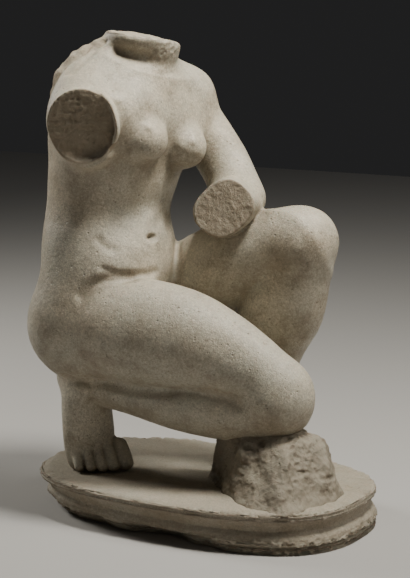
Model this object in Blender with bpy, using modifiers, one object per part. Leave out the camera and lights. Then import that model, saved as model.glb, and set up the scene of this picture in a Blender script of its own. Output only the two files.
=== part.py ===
"""Crouching Venus: a headless marble figure, carved in one block with its rock and moulded oval plinth.

The figure faces +X with its left side towards +Y, and +Z is up. The origin is at the centre of the
plinth's underside. The body is blocked out in ellipsoids, remeshed to one skin, and that skin is then
drawn onto a form made of tapering limbs and muscle masses that melt into each other or meet in a crease.
"""

import math

import bmesh
import bpy
import numpy as np
from mathutils import Matrix, Vector

# Driving sizes, in metres
FIGURE_HEIGHT = 0.695
PLINTH_LENGTH = 0.566
PLINTH_WIDTH = 0.372
PLINTH_HEIGHT = 0.066
PLINTH_SQUARENESS = 2.6
TOP_BAND_HEIGHT = 0.010
TOP_BAND_INSET = 0.003
FILLET_HEIGHT = 0.007
SCOTIA_HEIGHT = 0.014
SCOTIA_DEPTH = 0.010
FLARE_HEIGHT = 0.022
FOOT_INSET = 0.004
GROOVE_DEPTH = 0.0025
EDGE_ROUND = 0.005
WORN_DEPTH = 0.032
WORN_TOWARDS = 235

# Fineness of the solid
SKIN_VOXEL = FIGURE_HEIGHT / 105
FIGURE_TRIANGLES = 7300
PLINTH_STEPS = 56
CARVING_PASSES = 5

# Every place below is in steps of the figure's own height, from the plinth's top to the neck break
HEIGHT_STEPS = 695.0
STEP = FIGURE_HEIGHT / HEIGHT_STEPS
BED_STEPS = 16.0

# How widely forms melt where they only touch, how far from a limb its form is still worked out, and how
# far along a limb its section is evened out
CREASE = 5.0
FAR = 75.0
NEARBY = 11.0
LEAST_HALF = 4.0

# The skin may move this far in one pass of carving, and slides this share of the way to its neighbours
LONGEST_MOVE = 6.0
SLIDE = 0.4

MARBLE_COLOUR = (0.62, 0.57, 0.49, 1.0)
MARBLE_ROUGHNESS = 0.62


def unit(vector):
    """The vector, or each row of vectors, at length one."""
    vector = np.asarray(vector, float)
    return vector / np.linalg.norm(vector, axis=-1, keepdims=True)


def turned(yaw=0.0, pitch=0.0, roll=0.0):
    """Axes as columns (forward, left, up), turned in degrees about up, about left and about forward."""
    y, p, r = math.radians(yaw), math.radians(pitch), math.radians(roll)
    about_up = np.array([[math.cos(y), -math.sin(y), 0], [math.sin(y), math.cos(y), 0], [0, 0, 1]])
    about_left = np.array([[math.cos(p), 0, math.sin(p)], [0, 1, 0], [-math.sin(p), 0, math.cos(p)]])
    about_ahead = np.array([[1, 0, 0], [0, math.cos(r), -math.sin(r)], [0, math.sin(r), math.cos(r)]])
    return about_up @ about_left @ about_ahead


CHEST = turned(-12, 8, -11)
BACK = turned(-12, 8)
PELVIS = turned(-4, -6)


def melt(a, b, width):
    """The union of two forms, with a fillet of that width where they meet."""
    overlap = np.maximum(width - np.abs(a - b), 0) / width
    return np.minimum(a, b) - overlap * overlap * width * 0.25


def cut(form, plane, width):
    """What of a form lies behind a plane, with its edge rounded by that width."""
    return -melt(-form, -plane, width)


def near(p, centre, reach):
    """A weight of one at the centre that fades over the reach along each axis."""
    return np.exp(-(((p - np.asarray(centre, float)) / np.asarray(reach, float)) ** 2).sum(-1))


def swelling(centre, radii, axes=None):
    """A muscle or flesh mass: an ellipsoid."""
    return {"centre": np.asarray(centre, float), "radii": np.asarray(radii, float), "axes": axes}


def swelling_form(p, mass):
    """Signed distance to a swelling, close to its surface: negative inside."""
    q = p - mass["centre"]
    if mass["axes"] is not None:
        q = q @ mass["axes"]
    near_unit = np.sqrt(((q / mass["radii"]) ** 2).sum(-1))
    slope = np.sqrt(((q / mass["radii"] ** 2) ** 2).sum(-1))
    return near_unit * (near_unit - 1) / np.maximum(slope, 1e-9)


def smooth_rows(rows, count):
    """Rows read from a smooth curve through the given rows (Catmull-Rom)."""
    rows = np.asarray(rows, float)
    last = len(rows) - 1
    ends = np.vstack([2 * rows[0] - rows[1], rows, 2 * rows[-1] - rows[-2]])
    t = np.linspace(0, last, count)
    i = np.minimum(t.astype(int), last - 1)
    f = (t - i)[:, None]
    a, b, c, d = ends[i], ends[i + 1], ends[i + 2], ends[i + 3]
    square, cube = 2 * a - 5 * b + 4 * c - d, 3 * b - a - 3 * c + d
    return 0.5 * (2 * b + (c - a) * f + square * f**2 + cube * f**3)


def limb(stations, side, cap=1.0, power=2.0, count=26):
    """A tapering limb through stations (x, y, z, half breadth, half thickness).

    side is the direction of the breadth, one for all stations or one for each. cap is the length of the
    rounded ends as a share of the smaller half. power is 2 for an oval section and more for a squarer one.
    """
    rows = smooth_rows(stations, count)
    centres = rows[:, :3]
    along = unit(np.gradient(centres, axis=0))
    if np.ndim(side) == 2:
        breadth = smooth_rows(side, count)
    else:
        breadth = np.broadcast_to(np.array(side, float), centres.shape)
    thickness = unit(np.cross(along, breadth))
    return {
        "centres": centres,
        "halves": np.maximum(rows[:, 3:5], LEAST_HALF),
        "breadth": np.cross(thickness, along),
        "thickness": thickness,
        "cap": cap,
        "power": power,
    }


def limb_form(p, part):
    """Signed distance to a limb, near its surface, and FAR where a point is well away from it."""
    centres, halves = part["centres"], part["halves"]
    reach = halves.max() + FAR
    inside = ((p > centres.min(0) - reach) & (p < centres.max(0) + reach)).all(-1)
    form = np.full(len(p), FAR)
    q = p[inside]
    if not len(q):
        return form
    start, run = centres[:-1], np.diff(centres, axis=0)
    length2 = (run * run).sum(-1)
    dots = q @ run.T - (start * run).sum(-1)
    t = np.clip(dots / length2, 0, 1)
    gap2 = (q * q).sum(-1)[:, None] + (start * start).sum(-1) - 2 * q @ start.T
    gap2 += t * t * length2 - 2 * t * dots
    mean = halves.mean(1)
    gap2 -= (mean[:-1] + np.diff(mean) * t) ** 2
    weight = np.exp(-(gap2 - gap2.min(1)[:, None]) / NEARBY**2)
    place = (weight * (np.arange(len(run)) + t)).sum(1) / weight.sum(1)
    i = np.minimum(place.astype(int), len(run) - 1)
    share = (place - i)[:, None]
    here = {}
    for name in ("centres", "halves", "breadth", "thickness"):
        here[name] = part[name][i] * (1 - share) + part[name][i + 1] * share
    centre, half, breadth, thickness = here.values()
    q = q - centre
    across = (q * breadth).sum(-1)
    through = (q * thickness).sum(-1)
    lengthwise = (q * np.cross(breadth, thickness)).sum(-1)
    to_end = np.clip(np.minimum(place, len(run) - place), 0, 1)
    end = half.mean(1) * to_end + part["cap"] * half.min(1) * (1 - to_end)
    sizes = np.stack([half[:, 0], half[:, 1], end])
    parts = np.abs(np.stack([across, through, lengthwise]))
    near_unit = ((parts / sizes) ** part["power"]).sum(0) ** (1 / part["power"])
    slope = np.sqrt(((parts / sizes**2) ** 2).sum(0))
    form[inside] = near_unit * (near_unit - 1) / np.maximum(slope, 1e-9)
    return form


def furrow_form(p, path, width, depth):
    """What a furrow along a path adds to a form: its depth, fading over its width."""
    line = smooth_rows(path, 4 * len(path))
    start, run = line[:-1], np.diff(line, axis=0)
    t = np.clip((p @ run.T - (start * run).sum(-1)) / (run * run).sum(-1), 0, 1)
    nearest2 = np.full(len(p), np.inf)
    for i in range(len(run)):
        gap = p - start[i] - t[:, i : i + 1] * run[i]
        nearest2 = np.minimum(nearest2, (gap * gap).sum(-1))
    return depth * np.exp(-nearest2 / width**2)


LATERAL = (0, 1, 0)
UPWARD = (0, 0, 1)
FOOT_AHEAD = unit((0.78, -0.63, 0))
FOOT_ACROSS = unit((0.63, 0.78, 0))

TRUNK = limb(
    [
        (-174, -10, 204, 98, 64),
        (-174, -10, 228, 120, 84),
        (-174, -8, 262, 133, 91),
        (-176, -6, 305, 132, 93),
        (-179, -6, 350, 122, 92),
        (-178, -6, 395, 108, 89),
        (-174, -5, 440, 105, 88),
        (-165, -4, 485, 112, 91),
        (-150, -1, 530, 118, 87),
        (-134, 2, 570, 114, 72),
        (-120, 4, 603, 85, 52),
    ],
    [(-0.07, 1, 0)] * 4 + [(0, 1, 0), (0.1, 1, 0)] + [(0.2, 1, 0)] * 5,
    cap=0.6,
    power=2.25,
)
NECK = limb(
    [
        (-130, 2, 585, 52, 50),
        (-123, 2, 622, 45, 43),
        (-116, 2, 655, 43, 42),
        (-110, 2, 684, 56, 55),
        (-108, 2, 712, 59, 58),
        (-107, 2, 745, 60, 60),
    ],
    (0.2, 1, 0),
)
NECK_BREAK_AT = (-110, 2, 690)
NECK_BREAK_FACES = unit((0.06, 0.15, 1.0))
YOKE = limb(
    [
        (-155, -120, 578, 34, 34),
        (-172, -85, 617, 34, 34),
        (-160, -40, 642, 36, 34),
        (-135, 6, 642, 40, 34),
        (-116, 56, 626, 33, 30),
        (-98, 108, 600, 31, 32),
    ],
    UPWARD,
)
NAPE_LOCKS = limb(
    [
        (-130, -13, 676, 13, 11),
        (-155, -42, 677, 14, 13),
        (-182, -70, 660, 15, 13),
        (-200, -95, 629, 14, 12),
        (-203, -112, 598, 10, 9),
    ],
    (-0.8, -0.4, 0.5),
)
SHOULDERS = [swelling((-148, -116, 562), (54, 46, 58)), swelling((-103, 108, 584), (46, 43, 47))]
ARM_STUMP = limb(
    [(-147, -109, 564, 57, 54), (-130, -151, 562, 56, 53), (-107, -201, 556, 54, 52)],
    UPWARD,
)
ARM_BREAK_AT = (-128, -145, 560)
ARM_BREAK_FACES = unit((0.45, -0.88, -0.22))
LEFT_UPPER_ARM = limb(
    [
        (-106, 112, 585, 41, 44),
        (-82, 120, 545, 40, 44),
        (-44, 118, 500, 38, 43),
        (-12, 106, 462, 37, 42),
        (12, 89, 432, 36, 40),
    ],
    LATERAL,
)
LEFT_FOREARM = limb(
    [(6, 88, 430, 39, 39), (20, 48, 427, 42, 43), (30, 10, 426, 42, 43), (32, -30, 426, 42, 43)],
    UPWARD,
    power=2.6,
)
FOREARM_BREAK_AT = (38, 4, 428)
FOREARM_BREAK_FACES = unit((0.42, -0.90, 0.05))

RIGHT_THIGH = limb(
    [
        (-180, -62, 220, 70, 78),
        (-120, -78, 236, 74, 84),
        (-59, -74, 234, 70, 85),
        (0, -64, 227, 66, 80),
        (61, -52, 209, 58, 67),
        (110, -40, 186, 50, 55),
        (145, -32, 160, 46, 48),
    ],
    LATERAL,
)
RIGHT_KNEE = swelling((150, -28, 147), (48, 46, 50), turned(8, 35))
RIGHT_SHANK = limb(
    [
        (150, -26, 132, 44, 46),
        (100, -32, 120, 47, 47),
        (45, -40, 121, 49, 50),
        (-20, -48, 125, 46, 47),
        (-85, -54, 128, 37, 37),
        (-135, -58, 130, 31, 31),
        (-172, -60, 131, 30, 31),
    ],
    LATERAL,
)
RIGHT_FOOT = limb(
    [
        (-188, -60, 160, 37, 33),
        (-187, -62, 120, 40, 37),
        (-184, -64, 85, 42, 33),
        (-180, -66, 55, 43, 27),
        (-177, -68, 30, 42, 19),
        (-174, -70, 14, 40, 13),
    ],
    FOOT_ACROSS,
)
RIGHT_HEEL = swelling((-212, -54, 148), (32, 30, 33))
TOE_PLACES = (-189, -172, -155, -138, -117)
TOE_TIPS = (-70, -60, -54, -50, -51)
TOE_ROOTS_AT = 33.0
TOE_LENGTHS = (22, 27, 31, 33, 34)
TOE_RADII = (8.5, 9.0, 9.5, 10.5, 13.0)

LEFT_THIGH = limb(
    [
        (-150, 60, 232, 66, 72),
        (-95, 72, 266, 68, 73),
        (-43, 76, 300, 66, 74),
        (11, 80, 331, 62, 71),
        (62, 81, 355, 56, 62),
        (105, 80, 370, 50, 53),
        (128, 80, 373, 46, 47),
    ],
    LATERAL,
)
LEFT_KNEE = swelling((131, 79, 373), (50, 46, 51), turned(0, 30))
LEFT_SHANK = limb(
    [
        (134, 80, 370, 46, 46),
        (121, 80, 320, 47, 56),
        (98, 80, 270, 49, 70),
        (77, 82, 220, 47, 62),
        (64, 84, 165, 38, 49),
        (50, 86, 110, 29, 34),
        (38, 87, 65, 27, 31),
        (34, 88, 45, 28, 32),
    ],
    LATERAL,
)
LEFT_FOOT = limb(
    [
        (0, 88, 26, 26, 26),
        (30, 89, 40, 28, 40),
        (70, 91, 36, 33, 32),
        (110, 94, 22, 39, 22),
        (136, 97, 14, 40, 14),
        (146, 98, 11, 36, 11),
    ],
    LATERAL,
)
LEFT_TOE_PLACES = (134, 120, 106, 92, 75)
LEFT_TOE_TIPS = (150, 160, 167, 171, 172)
LEFT_TOE_ROOTS_AT = 14.0

ROCK_FACES = [
    ((52, -50, 0), (-0.65, -0.76, 0.12)),
    ((170, -128, 0), (-0.12, -0.85, 0.50)),
    ((216, -120, 1), (0.81, -0.34, 0.47)),
    ((241, -20, 20), (0.98, 0.0, 0.20)),
    ((216, 0, 70), (0.64, 0.05, 0.76)),
    ((195, -20, 104), (0.11, -0.45, 0.89)),
    ((100, 10, 88), (0.0, 0.6, 0.8)),
    ((100, 66, 0), (0.0, 1.0, 0.2)),
    ((28, 0, 59), (-1.0, -0.05, 0.08)),
    ((234, 0, 30), (0.80, 0.55, 0.22)),
]
ROCK_CORE = swelling((132, -28, 20), (96, 84, 74))
HEWN_DEPTH = 3.0


def both_sides(centre, offset, radii, spread, origin, axes):
    """A pair of swellings mirrored about the chest's or pelvis's midline, each turned outwards."""
    pair = []
    for side in (-1, 1):
        place = np.asarray(origin, float) + axes @ np.array([centre, side * offset[0], offset[1]])
        pair.append(swelling(place, radii, axes @ turned(side * spread)))
    return pair


PECTORALS = both_sides(50, (55, -2), (30, 62, 45), 0, (-135, 0, 560), CHEST)
SHOULDER_BLADES = both_sides(-56, (60, 8), (26, 40, 56), 0, (-150, 0, 540), BACK)
BREASTS = both_sides(66, (45, 4), (42, 37, 37), 16, (-136, 2, 533), CHEST)
BUTTOCKS = both_sides(0, (58, 0), (76, 70, 72), 0, (-200, -10, 236), np.eye(3))
BELLY = swelling((-124, -24, 326), (54, 84, 74), PELVIS)
NAVEL_AT = (-80, -30, 378)

# Furrows, as (path, width, depth): the folds of the hips and belly, the fold between thigh and calf, and
# the throat under the flared rim of the neck
HIP_FOLD = [(-143, -140, 297), (-130, -132, 311), (-117, -123, 319), (-98, -109, 323), (-80, -88, 321)]
BELLY_FOLD = [(-112, -117, 337), (-99, -107, 335), (-84, -88, 333), (-72, -62, 330), (-67, -30, 328)]
CALF_FOLD = [(-202, -97, 151), (-144, -100, 154), (-115, -100, 149), (-78, -100, 145), (-41, -100, 148)]
CALF_FOLD += [(-13, -100, 150), (32, -100, 158), (76, -95, 159), (100, -92, 152), (120, -86, 141)]
THROAT = [(-124, -52, 668), (-104, -50, 665), (-84, -40, 661)]
FURROWS = [
    (HIP_FOLD, 8, 6),
    (BELLY_FOLD, 6, 3.5),
    (CALF_FOLD, 7, 6),
    (THROAT, 12, 5),
]


def toes(places, tips, roots_at, ahead, across):
    """Five toes side by side, little toe first, each bent down from its root to its tip."""
    forms = []
    for place, tip, length, radius in zip(places, tips, TOE_LENGTHS, TOE_RADII):
        front = ahead * tip + across * place
        rows = [
            (*(front - ahead * length), roots_at, radius, radius),
            (*(front - ahead * length * 0.45), roots_at * 0.4 + radius * 0.8, radius, radius * 0.95),
            (*front, radius - 1, radius, radius * 0.85),
        ]
        forms.append(limb(rows, across, count=8))
    return forms


RIGHT_TOES = toes(TOE_PLACES, TOE_TIPS, TOE_ROOTS_AT, FOOT_AHEAD, FOOT_ACROSS)
LEFT_TOES = toes(LEFT_TOE_PLACES, LEFT_TOE_TIPS, LEFT_TOE_ROOTS_AT, unit((1, 0, 0)), unit(LATERAL))


def trunk_form(p):
    """Pelvis, belly, back, chest and neck stump, melted together, with the furrows carved in."""
    form = limb_form(p, TRUNK)
    neck = cut(limb_form(p, NECK), (p - np.array(NECK_BREAK_AT)) @ NECK_BREAK_FACES, 6)
    form = melt(form, neck, 30)
    form = melt(form, limb_form(p, YOKE), 45)
    for mass in SHOULDERS:
        form = melt(form, swelling_form(p, mass), 40)
    for mass in PECTORALS + SHOULDER_BLADES:
        form = melt(form, swelling_form(p, mass), 30)
    for mass in BREASTS:
        form = melt(form, swelling_form(p, mass), 14)
    for mass in [BELLY] + BUTTOCKS:
        form = melt(form, swelling_form(p, mass), 48)
    form = melt(form, limb_form(p, NAPE_LOCKS), 4)
    x, y, z = p.T
    behind = np.clip((-190 - x) / 30, 0, 1)
    along_back = np.clip((z - 270) / 60, 0, 1) * np.clip((600 - z) / 60, 0, 1)
    spine = np.exp(-(((y + 6) / 14) ** 2)) * behind * along_back
    cleft = np.exp(-(((y + 10) / 9) ** 2)) * behind * np.clip((265 - z) / 50, 0, 1)
    return form + 7 * spine + 12 * cleft + 9 * near(p, NAVEL_AT, (9, 9, 7))


def leg_form(p, thigh, knee, shank):
    """A bent leg: thigh and shank melt at the knee and meet in a crease behind it."""
    width = CREASE + 30 * near(p, knee["centre"] + np.array((5, 0, 0)), (50, 80, 50))
    form = melt(limb_form(p, thigh), limb_form(p, shank), width)
    return melt(form, swelling_form(p, knee), 30)


def foot_form(p, foot, foot_toes):
    """A foot with its toes, which part from each other in narrow clefts."""
    tips = limb_form(p, foot_toes[0])
    for toe in foot_toes[1:]:
        tips = melt(tips, limb_form(p, toe), 2)
    return melt(limb_form(p, foot), tips, 9)


def rock_form(p):
    """Signed distance to the rock: a roughly hewn block that carries the right shin and knee."""
    x, y, z = p.T
    form = -FAR * np.ones(len(p))
    for place, faces in ROCK_FACES:
        form = -melt(-form, -((p - np.array(place)) @ unit(faces)), 10)
    waves = np.sin(x / 9.5 + y / 21) * np.sin(y / 10.5 - z / 30) * np.sin(z / 12 + x / 25 + 1)
    return form + HEWN_DEPTH * waves


def figure_form(p):
    """Signed distance to the whole figure and its rock, in steps: negative inside the marble."""
    form = trunk_form(p)
    right_leg = leg_form(p, RIGHT_THIGH, RIGHT_KNEE, RIGHT_SHANK)
    form = melt(form, right_leg, CREASE + 55 * near(p, (-232, -115, 235), (52, 70, 85)))
    left_leg = leg_form(p, LEFT_THIGH, LEFT_KNEE, LEFT_SHANK)
    left_leg = melt(left_leg, foot_form(p, LEFT_FOOT, LEFT_TOES), 14)
    form = melt(form, left_leg, CREASE + 50 * near(p, (-200, 130, 255), (90, 70, 110)))
    stump = cut(limb_form(p, ARM_STUMP), (p - np.array(ARM_BREAK_AT)) @ ARM_BREAK_FACES, 3)
    form = melt(form, stump, 10 + 30 * near(p, (-125, -135, 505), (50, 40, 30)))
    forearm = cut(limb_form(p, LEFT_FOREARM), (p - np.array(FOREARM_BREAK_AT)) @ FOREARM_BREAK_FACES, 4)
    arm = melt(limb_form(p, LEFT_UPPER_ARM), forearm, 20)
    form = melt(form, arm, CREASE + 22 * near(p, (-103, 108, 585), (60, 60, 60)))
    foot = melt(foot_form(p, RIGHT_FOOT, RIGHT_TOES), swelling_form(p, RIGHT_HEEL), 20)
    form = melt(form, foot, CREASE)
    for path, width, depth in FURROWS:
        form += furrow_form(p, path, width, depth)
    form = melt(form, rock_form(p), CREASE + 22 * near(p, (45, 55, 50), (50, 30, 60)))
    return cut(form, -p[:, 2] - BED_STEPS, 1)


LIMBS = [TRUNK, YOKE, NAPE_LOCKS, LEFT_UPPER_ARM, RIGHT_THIGH, RIGHT_SHANK, RIGHT_FOOT]
LIMBS += [LEFT_THIGH, LEFT_SHANK, LEFT_FOOT] + RIGHT_TOES + LEFT_TOES
BROKEN_LIMBS = [
    (NECK, NECK_BREAK_AT, NECK_BREAK_FACES),
    (ARM_STUMP, ARM_BREAK_AT, ARM_BREAK_FACES),
    (LEFT_FOREARM, FOREARM_BREAK_AT, FOREARM_BREAK_FACES),
]
MASSES = SHOULDERS + PECTORALS + SHOULDER_BLADES + BREASTS + BUTTOCKS
MASSES += [BELLY, RIGHT_KNEE, LEFT_KNEE, RIGHT_HEEL, ROCK_CORE]


def add_block(bm, centre, axes, radii):
    """Adds one ellipsoid of the block-out, in metres above the plinth's top."""
    turn = Matrix([[*row] for row in axes]).to_4x4()
    size = Matrix.Diagonal((*(Vector(radii) * STEP), 1.0))
    place = Matrix.Translation(Vector(centre) * STEP) @ turn @ size
    bmesh.ops.create_icosphere(bm, subdivisions=3, radius=1.0, matrix=place)


def block_out():
    """The figure in overlapping ellipsoids, as one loose mesh."""
    bm = bmesh.new()
    for mass in MASSES:
        axes = np.eye(3) if mass["axes"] is None else mass["axes"]
        add_block(bm, mass["centre"], axes, mass["radii"])
    whole = [(part, None, None) for part in LIMBS]
    for part, at, faces in whole + BROKEN_LIMBS:
        for i in range(0, len(part["centres"]), 1 if len(part["centres"]) < 12 else 2):
            centre, half = part["centres"][i], part["halves"][i]
            if at is not None and (centre - np.array(at)) @ faces > -half.min() * 0.5:
                continue
            along = np.cross(part["breadth"][i], part["thickness"][i])
            axes = np.stack([part["breadth"][i], part["thickness"][i], along], axis=1)
            add_block(bm, centre, axes, (*half, half.min()))
    mesh = bpy.data.meshes.new("venus_block_out")
    bm.to_mesh(mesh)
    bm.free()
    return mesh


def evaluated_mesh(obj):
    """The object's mesh with its modifiers applied, as a new mesh."""
    depsgraph = bpy.context.evaluated_depsgraph_get()
    return bpy.data.meshes.new_from_object(obj.evaluated_get(depsgraph), depsgraph=depsgraph)


def relax(places, edges, normals, strength):
    """Slides points along the surface towards the middle of their neighbours, which evens out the mesh."""
    total = np.zeros_like(places)
    count = np.zeros(len(places))
    for a, b in ((0, 1), (1, 0)):
        np.add.at(total, edges[:, a], places[edges[:, b]])
        np.add.at(count, edges[:, a], 1)
    drift = total / np.maximum(count, 1)[:, None] - places
    drift -= normals * (drift * normals).sum(-1, keepdims=True)
    return places + strength * drift


def carve(mesh, form, passes):
    """Draws the skin onto a form: each pass moves every point along its normal by its distance to it."""
    count = len(mesh.vertices)
    edges = np.empty(len(mesh.edges) * 2, np.int32)
    mesh.edges.foreach_get("vertices", edges)
    edges = edges.reshape(-1, 2)
    places = np.empty(count * 3, np.float32)
    normals = np.empty(count * 3, np.float32)
    for _ in range(passes):
        mesh.vertices.foreach_get("co", places)
        mesh.vertex_normals.foreach_get("vector", normals)
        p = places.reshape(-1, 3).astype(float) / STEP
        n = normals.reshape(-1, 3).astype(float)
        p = relax(p, edges, n, SLIDE)
        gap = form(p)
        slope = np.clip(form(p + n) - gap, 0.35, 1.5)
        p -= n * np.clip(gap / slope, -LONGEST_MOVE, LONGEST_MOVE)[:, None]
        mesh.vertices.foreach_set("co", (p * STEP).astype(np.float32).ravel())
        mesh.update()


def marble():
    """Weathered white marble with a warm patina."""
    material = bpy.data.materials.new("marble")
    material.use_nodes = True
    shader = material.node_tree.nodes["Principled BSDF"]
    shader.inputs["Base Color"].default_value = MARBLE_COLOUR
    shader.inputs["Roughness"].default_value = MARBLE_ROUGHNESS
    shader.inputs["Metallic"].default_value = 0.0
    return material


def modifier(obj, kind, name, **settings):
    """Adds a modifier with these settings."""
    added = obj.modifiers.new(name, kind)
    for key, value in settings.items():
        setattr(added, key, value)
    return added


def plinth_profile():
    """The plinth's side from its top to its underside, as (inset from the full outline, height)."""
    top = PLINTH_HEIGHT
    band = top - TOP_BAND_HEIGHT
    fillet = band - FILLET_HEIGHT
    scotia = fillet - SCOTIA_HEIGHT
    flare = scotia - FLARE_HEIGHT
    inset = TOP_BAND_INSET
    points = []
    for i in range(4):
        angle = math.radians(30 * i)
        turn_in, turn_down = 1 - math.sin(angle), 1 - math.cos(angle)
        points.append((inset + EDGE_ROUND * turn_in, top - EDGE_ROUND * turn_down))
    points.append((inset, band + GROOVE_DEPTH / 2))
    points.append((inset + GROOVE_DEPTH, band))
    points.append((inset, band - GROOVE_DEPTH / 2))
    points.append((inset, fillet + GROOVE_DEPTH / 2))
    for i in range(6):
        share = i / 5
        hollow = SCOTIA_DEPTH * math.sin(math.pi / 2 * share)
        points.append((inset + hollow, fillet - SCOTIA_HEIGHT * (1 - math.cos(math.pi / 2 * share))))
    deepest = inset + SCOTIA_DEPTH
    for i in range(1, 6):
        share = i / 5
        points.append((deepest * (1 - math.sin(math.pi / 2 * share)), scotia - FLARE_HEIGHT * share))
    points.append((GROOVE_DEPTH + FOOT_INSET, flare - GROOVE_DEPTH / 2))
    points.append((FOOT_INSET / 2, flare - GROOVE_DEPTH))
    points.append((FOOT_INSET, 0))
    return points


def worn(angles, height):
    """How far the plinth's lower left edge is worn away, deeper towards the underside."""
    towards = np.clip(np.cos(angles - math.radians(WORN_TOWARDS)), 0, 1) ** 1.5
    return WORN_DEPTH * towards * (1 - height / PLINTH_HEIGHT) ** 2


def oval_outline(inset, height):
    """Points round the plinth at a height, a rounded oval pulled in by the inset and the wear."""
    angles = np.arange(PLINTH_STEPS) * 2 * math.pi / PLINTH_STEPS
    inset = inset + worn(angles, height)
    half_length, half_width = PLINTH_LENGTH / 2 - inset, PLINTH_WIDTH / 2 - inset
    power = 2 / PLINTH_SQUARENESS
    x = half_length * np.sign(np.cos(angles)) * np.abs(np.cos(angles)) ** power
    y = half_width * np.sign(np.sin(angles)) * np.abs(np.sin(angles)) ** power
    return x, y


def make_plinth(collection):
    """The moulded plinth: the profile carried round the oval, closed flat above and below."""
    bm = bmesh.new()
    rings = []
    for inset, height in plinth_profile():
        x, y = oval_outline(inset, height)
        rings.append([bm.verts.new((a, b, height)) for a, b in zip(x, y)])
    for upper, lower in zip(rings, rings[1:]):
        for i in range(PLINTH_STEPS):
            j = (i + 1) % PLINTH_STEPS
            bm.faces.new((upper[j], upper[i], lower[i], lower[j]))
    bm.faces.new(rings[0])
    bm.faces.new(list(reversed(rings[-1])))
    bmesh.ops.recalc_face_normals(bm, faces=bm.faces)
    mesh = bpy.data.meshes.new("plinth_block")
    bm.to_mesh(mesh)
    bm.free()
    plinth = bpy.data.objects.new("plinth_block", mesh)
    collection.objects.link(plinth)
    plinth.hide_render = True
    plinth.display_type = "WIRE"
    return plinth


def make_figure(collection, plinth, material):
    """The carved figure, thinned to the solid's fineness and joined with the plinth's block."""
    rough = bpy.data.objects.new("venus_block_out", block_out())
    collection.objects.link(rough)
    modifier(rough, "REMESH", "One skin", mode="VOXEL", voxel_size=SKIN_VOXEL, adaptivity=0.0)
    for _ in range(2):
        skin = evaluated_mesh(rough)
        carve(skin, figure_form, CARVING_PASSES)
        rough.data = skin
    bpy.data.objects.remove(rough)
    skin.transform(Matrix.Translation((0, 0, PLINTH_HEIGHT)))
    skin.name = "crouching_venus"
    skin.materials.append(material)
    skin.shade_smooth()
    figure = bpy.data.objects.new("crouching_venus", skin)
    collection.objects.link(figure)
    modifier(figure, "REMESH", "Clean skin", mode="VOXEL", voxel_size=SKIN_VOXEL * 0.8, adaptivity=0.0)
    faces = 2 * len(evaluated_mesh(figure).polygons)
    modifier(figure, "DECIMATE", "Thin", ratio=min(1.0, FIGURE_TRIANGLES / faces))
    joined = {"operation": "UNION", "solver": "EXACT", "object": plinth}
    modifier(figure, "BOOLEAN", "One block with the plinth", **joined)
    return figure


def new_collection(name):
    """A collection linked to the scene."""
    collection = bpy.data.collections.new(name)
    bpy.context.scene.collection.children.link(collection)
    return collection


def main():
    """Clears the scene and builds the statue."""
    for obj in list(bpy.data.objects):
        bpy.data.objects.remove(obj)
    statue = new_collection("Crouching Venus")
    cutters = new_collection("Joined blocks")
    material = marble()
    plinth = make_plinth(cutters)
    plinth.data.materials.append(material)
    make_figure(statue, plinth, material)
    bpy.context.view_layer.update()


main()
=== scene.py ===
"""A crouching Venus in weathered marble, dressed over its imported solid.

The body, the rock and the moulded plinth are worked out as arrays. The body is a form: a function of a place
in space that is negative inside the marble. It is put together from limbs and swellings, carved with furrows,
and a remeshed skin is drawn onto it. The rock and the plinth are surfaces of two parameters on a grid.
Places are in steps, of which the whole statue is OVERALL_STEPS high, counted from the plinth's top.
"""

import logging
import math
from dataclasses import dataclass, field
from enum import Enum
from functools import cached_property, partial
from typing import Callable, Union

import bmesh
import bpy
import numpy as np
from mathutils import Matrix, Vector


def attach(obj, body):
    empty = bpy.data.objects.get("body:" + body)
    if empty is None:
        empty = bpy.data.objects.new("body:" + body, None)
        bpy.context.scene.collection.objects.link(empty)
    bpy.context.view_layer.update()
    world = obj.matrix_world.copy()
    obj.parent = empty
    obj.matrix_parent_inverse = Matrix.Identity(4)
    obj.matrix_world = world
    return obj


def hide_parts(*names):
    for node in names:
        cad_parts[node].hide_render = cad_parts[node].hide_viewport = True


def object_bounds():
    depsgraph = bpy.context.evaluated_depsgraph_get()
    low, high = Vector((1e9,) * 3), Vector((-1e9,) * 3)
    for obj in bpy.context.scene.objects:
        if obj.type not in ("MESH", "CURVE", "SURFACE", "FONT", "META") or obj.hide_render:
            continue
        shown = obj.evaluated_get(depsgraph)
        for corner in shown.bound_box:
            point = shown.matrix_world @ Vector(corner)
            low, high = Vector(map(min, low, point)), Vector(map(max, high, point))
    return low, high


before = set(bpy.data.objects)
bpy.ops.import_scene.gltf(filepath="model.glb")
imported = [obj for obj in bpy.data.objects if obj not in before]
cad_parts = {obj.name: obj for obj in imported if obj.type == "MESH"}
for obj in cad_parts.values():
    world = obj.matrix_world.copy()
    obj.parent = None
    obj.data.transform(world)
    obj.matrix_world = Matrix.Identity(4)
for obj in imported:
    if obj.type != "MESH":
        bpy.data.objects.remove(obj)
CAD_BOX = [list(map(float, corner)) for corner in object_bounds()]
SOLID = "crouching_venus"
LOG = logging.getLogger("crouching_venus")

OVERALL_STEPS = 767.94
PLINTH_STEPS = 66.0
BED_STEPS = 14.0
STEP = (CAD_BOX[1][2] - CAD_BOX[0][2]) / OVERALL_STEPS  # metres in a step
CREASE = 5.0  # the fillet's width where flesh meets flesh in a crease
FAR = 75.0  # what a form says where it is too far away to matter
NEARBY = 11.0  # how far along a limb its neighbouring pieces count
TINY = 1e-9  # keeps a division from failing
UPWARD = (0.0, 0.0, 1.0)
LATERAL = (0.0, 1.0, 0.0)

Array = np.ndarray
Place = tuple[float, ...]
Blocks = tuple[Array, Array, Array]
Socket = bpy.types.NodeSocket
Input = Union[Socket, float, Place]


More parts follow.
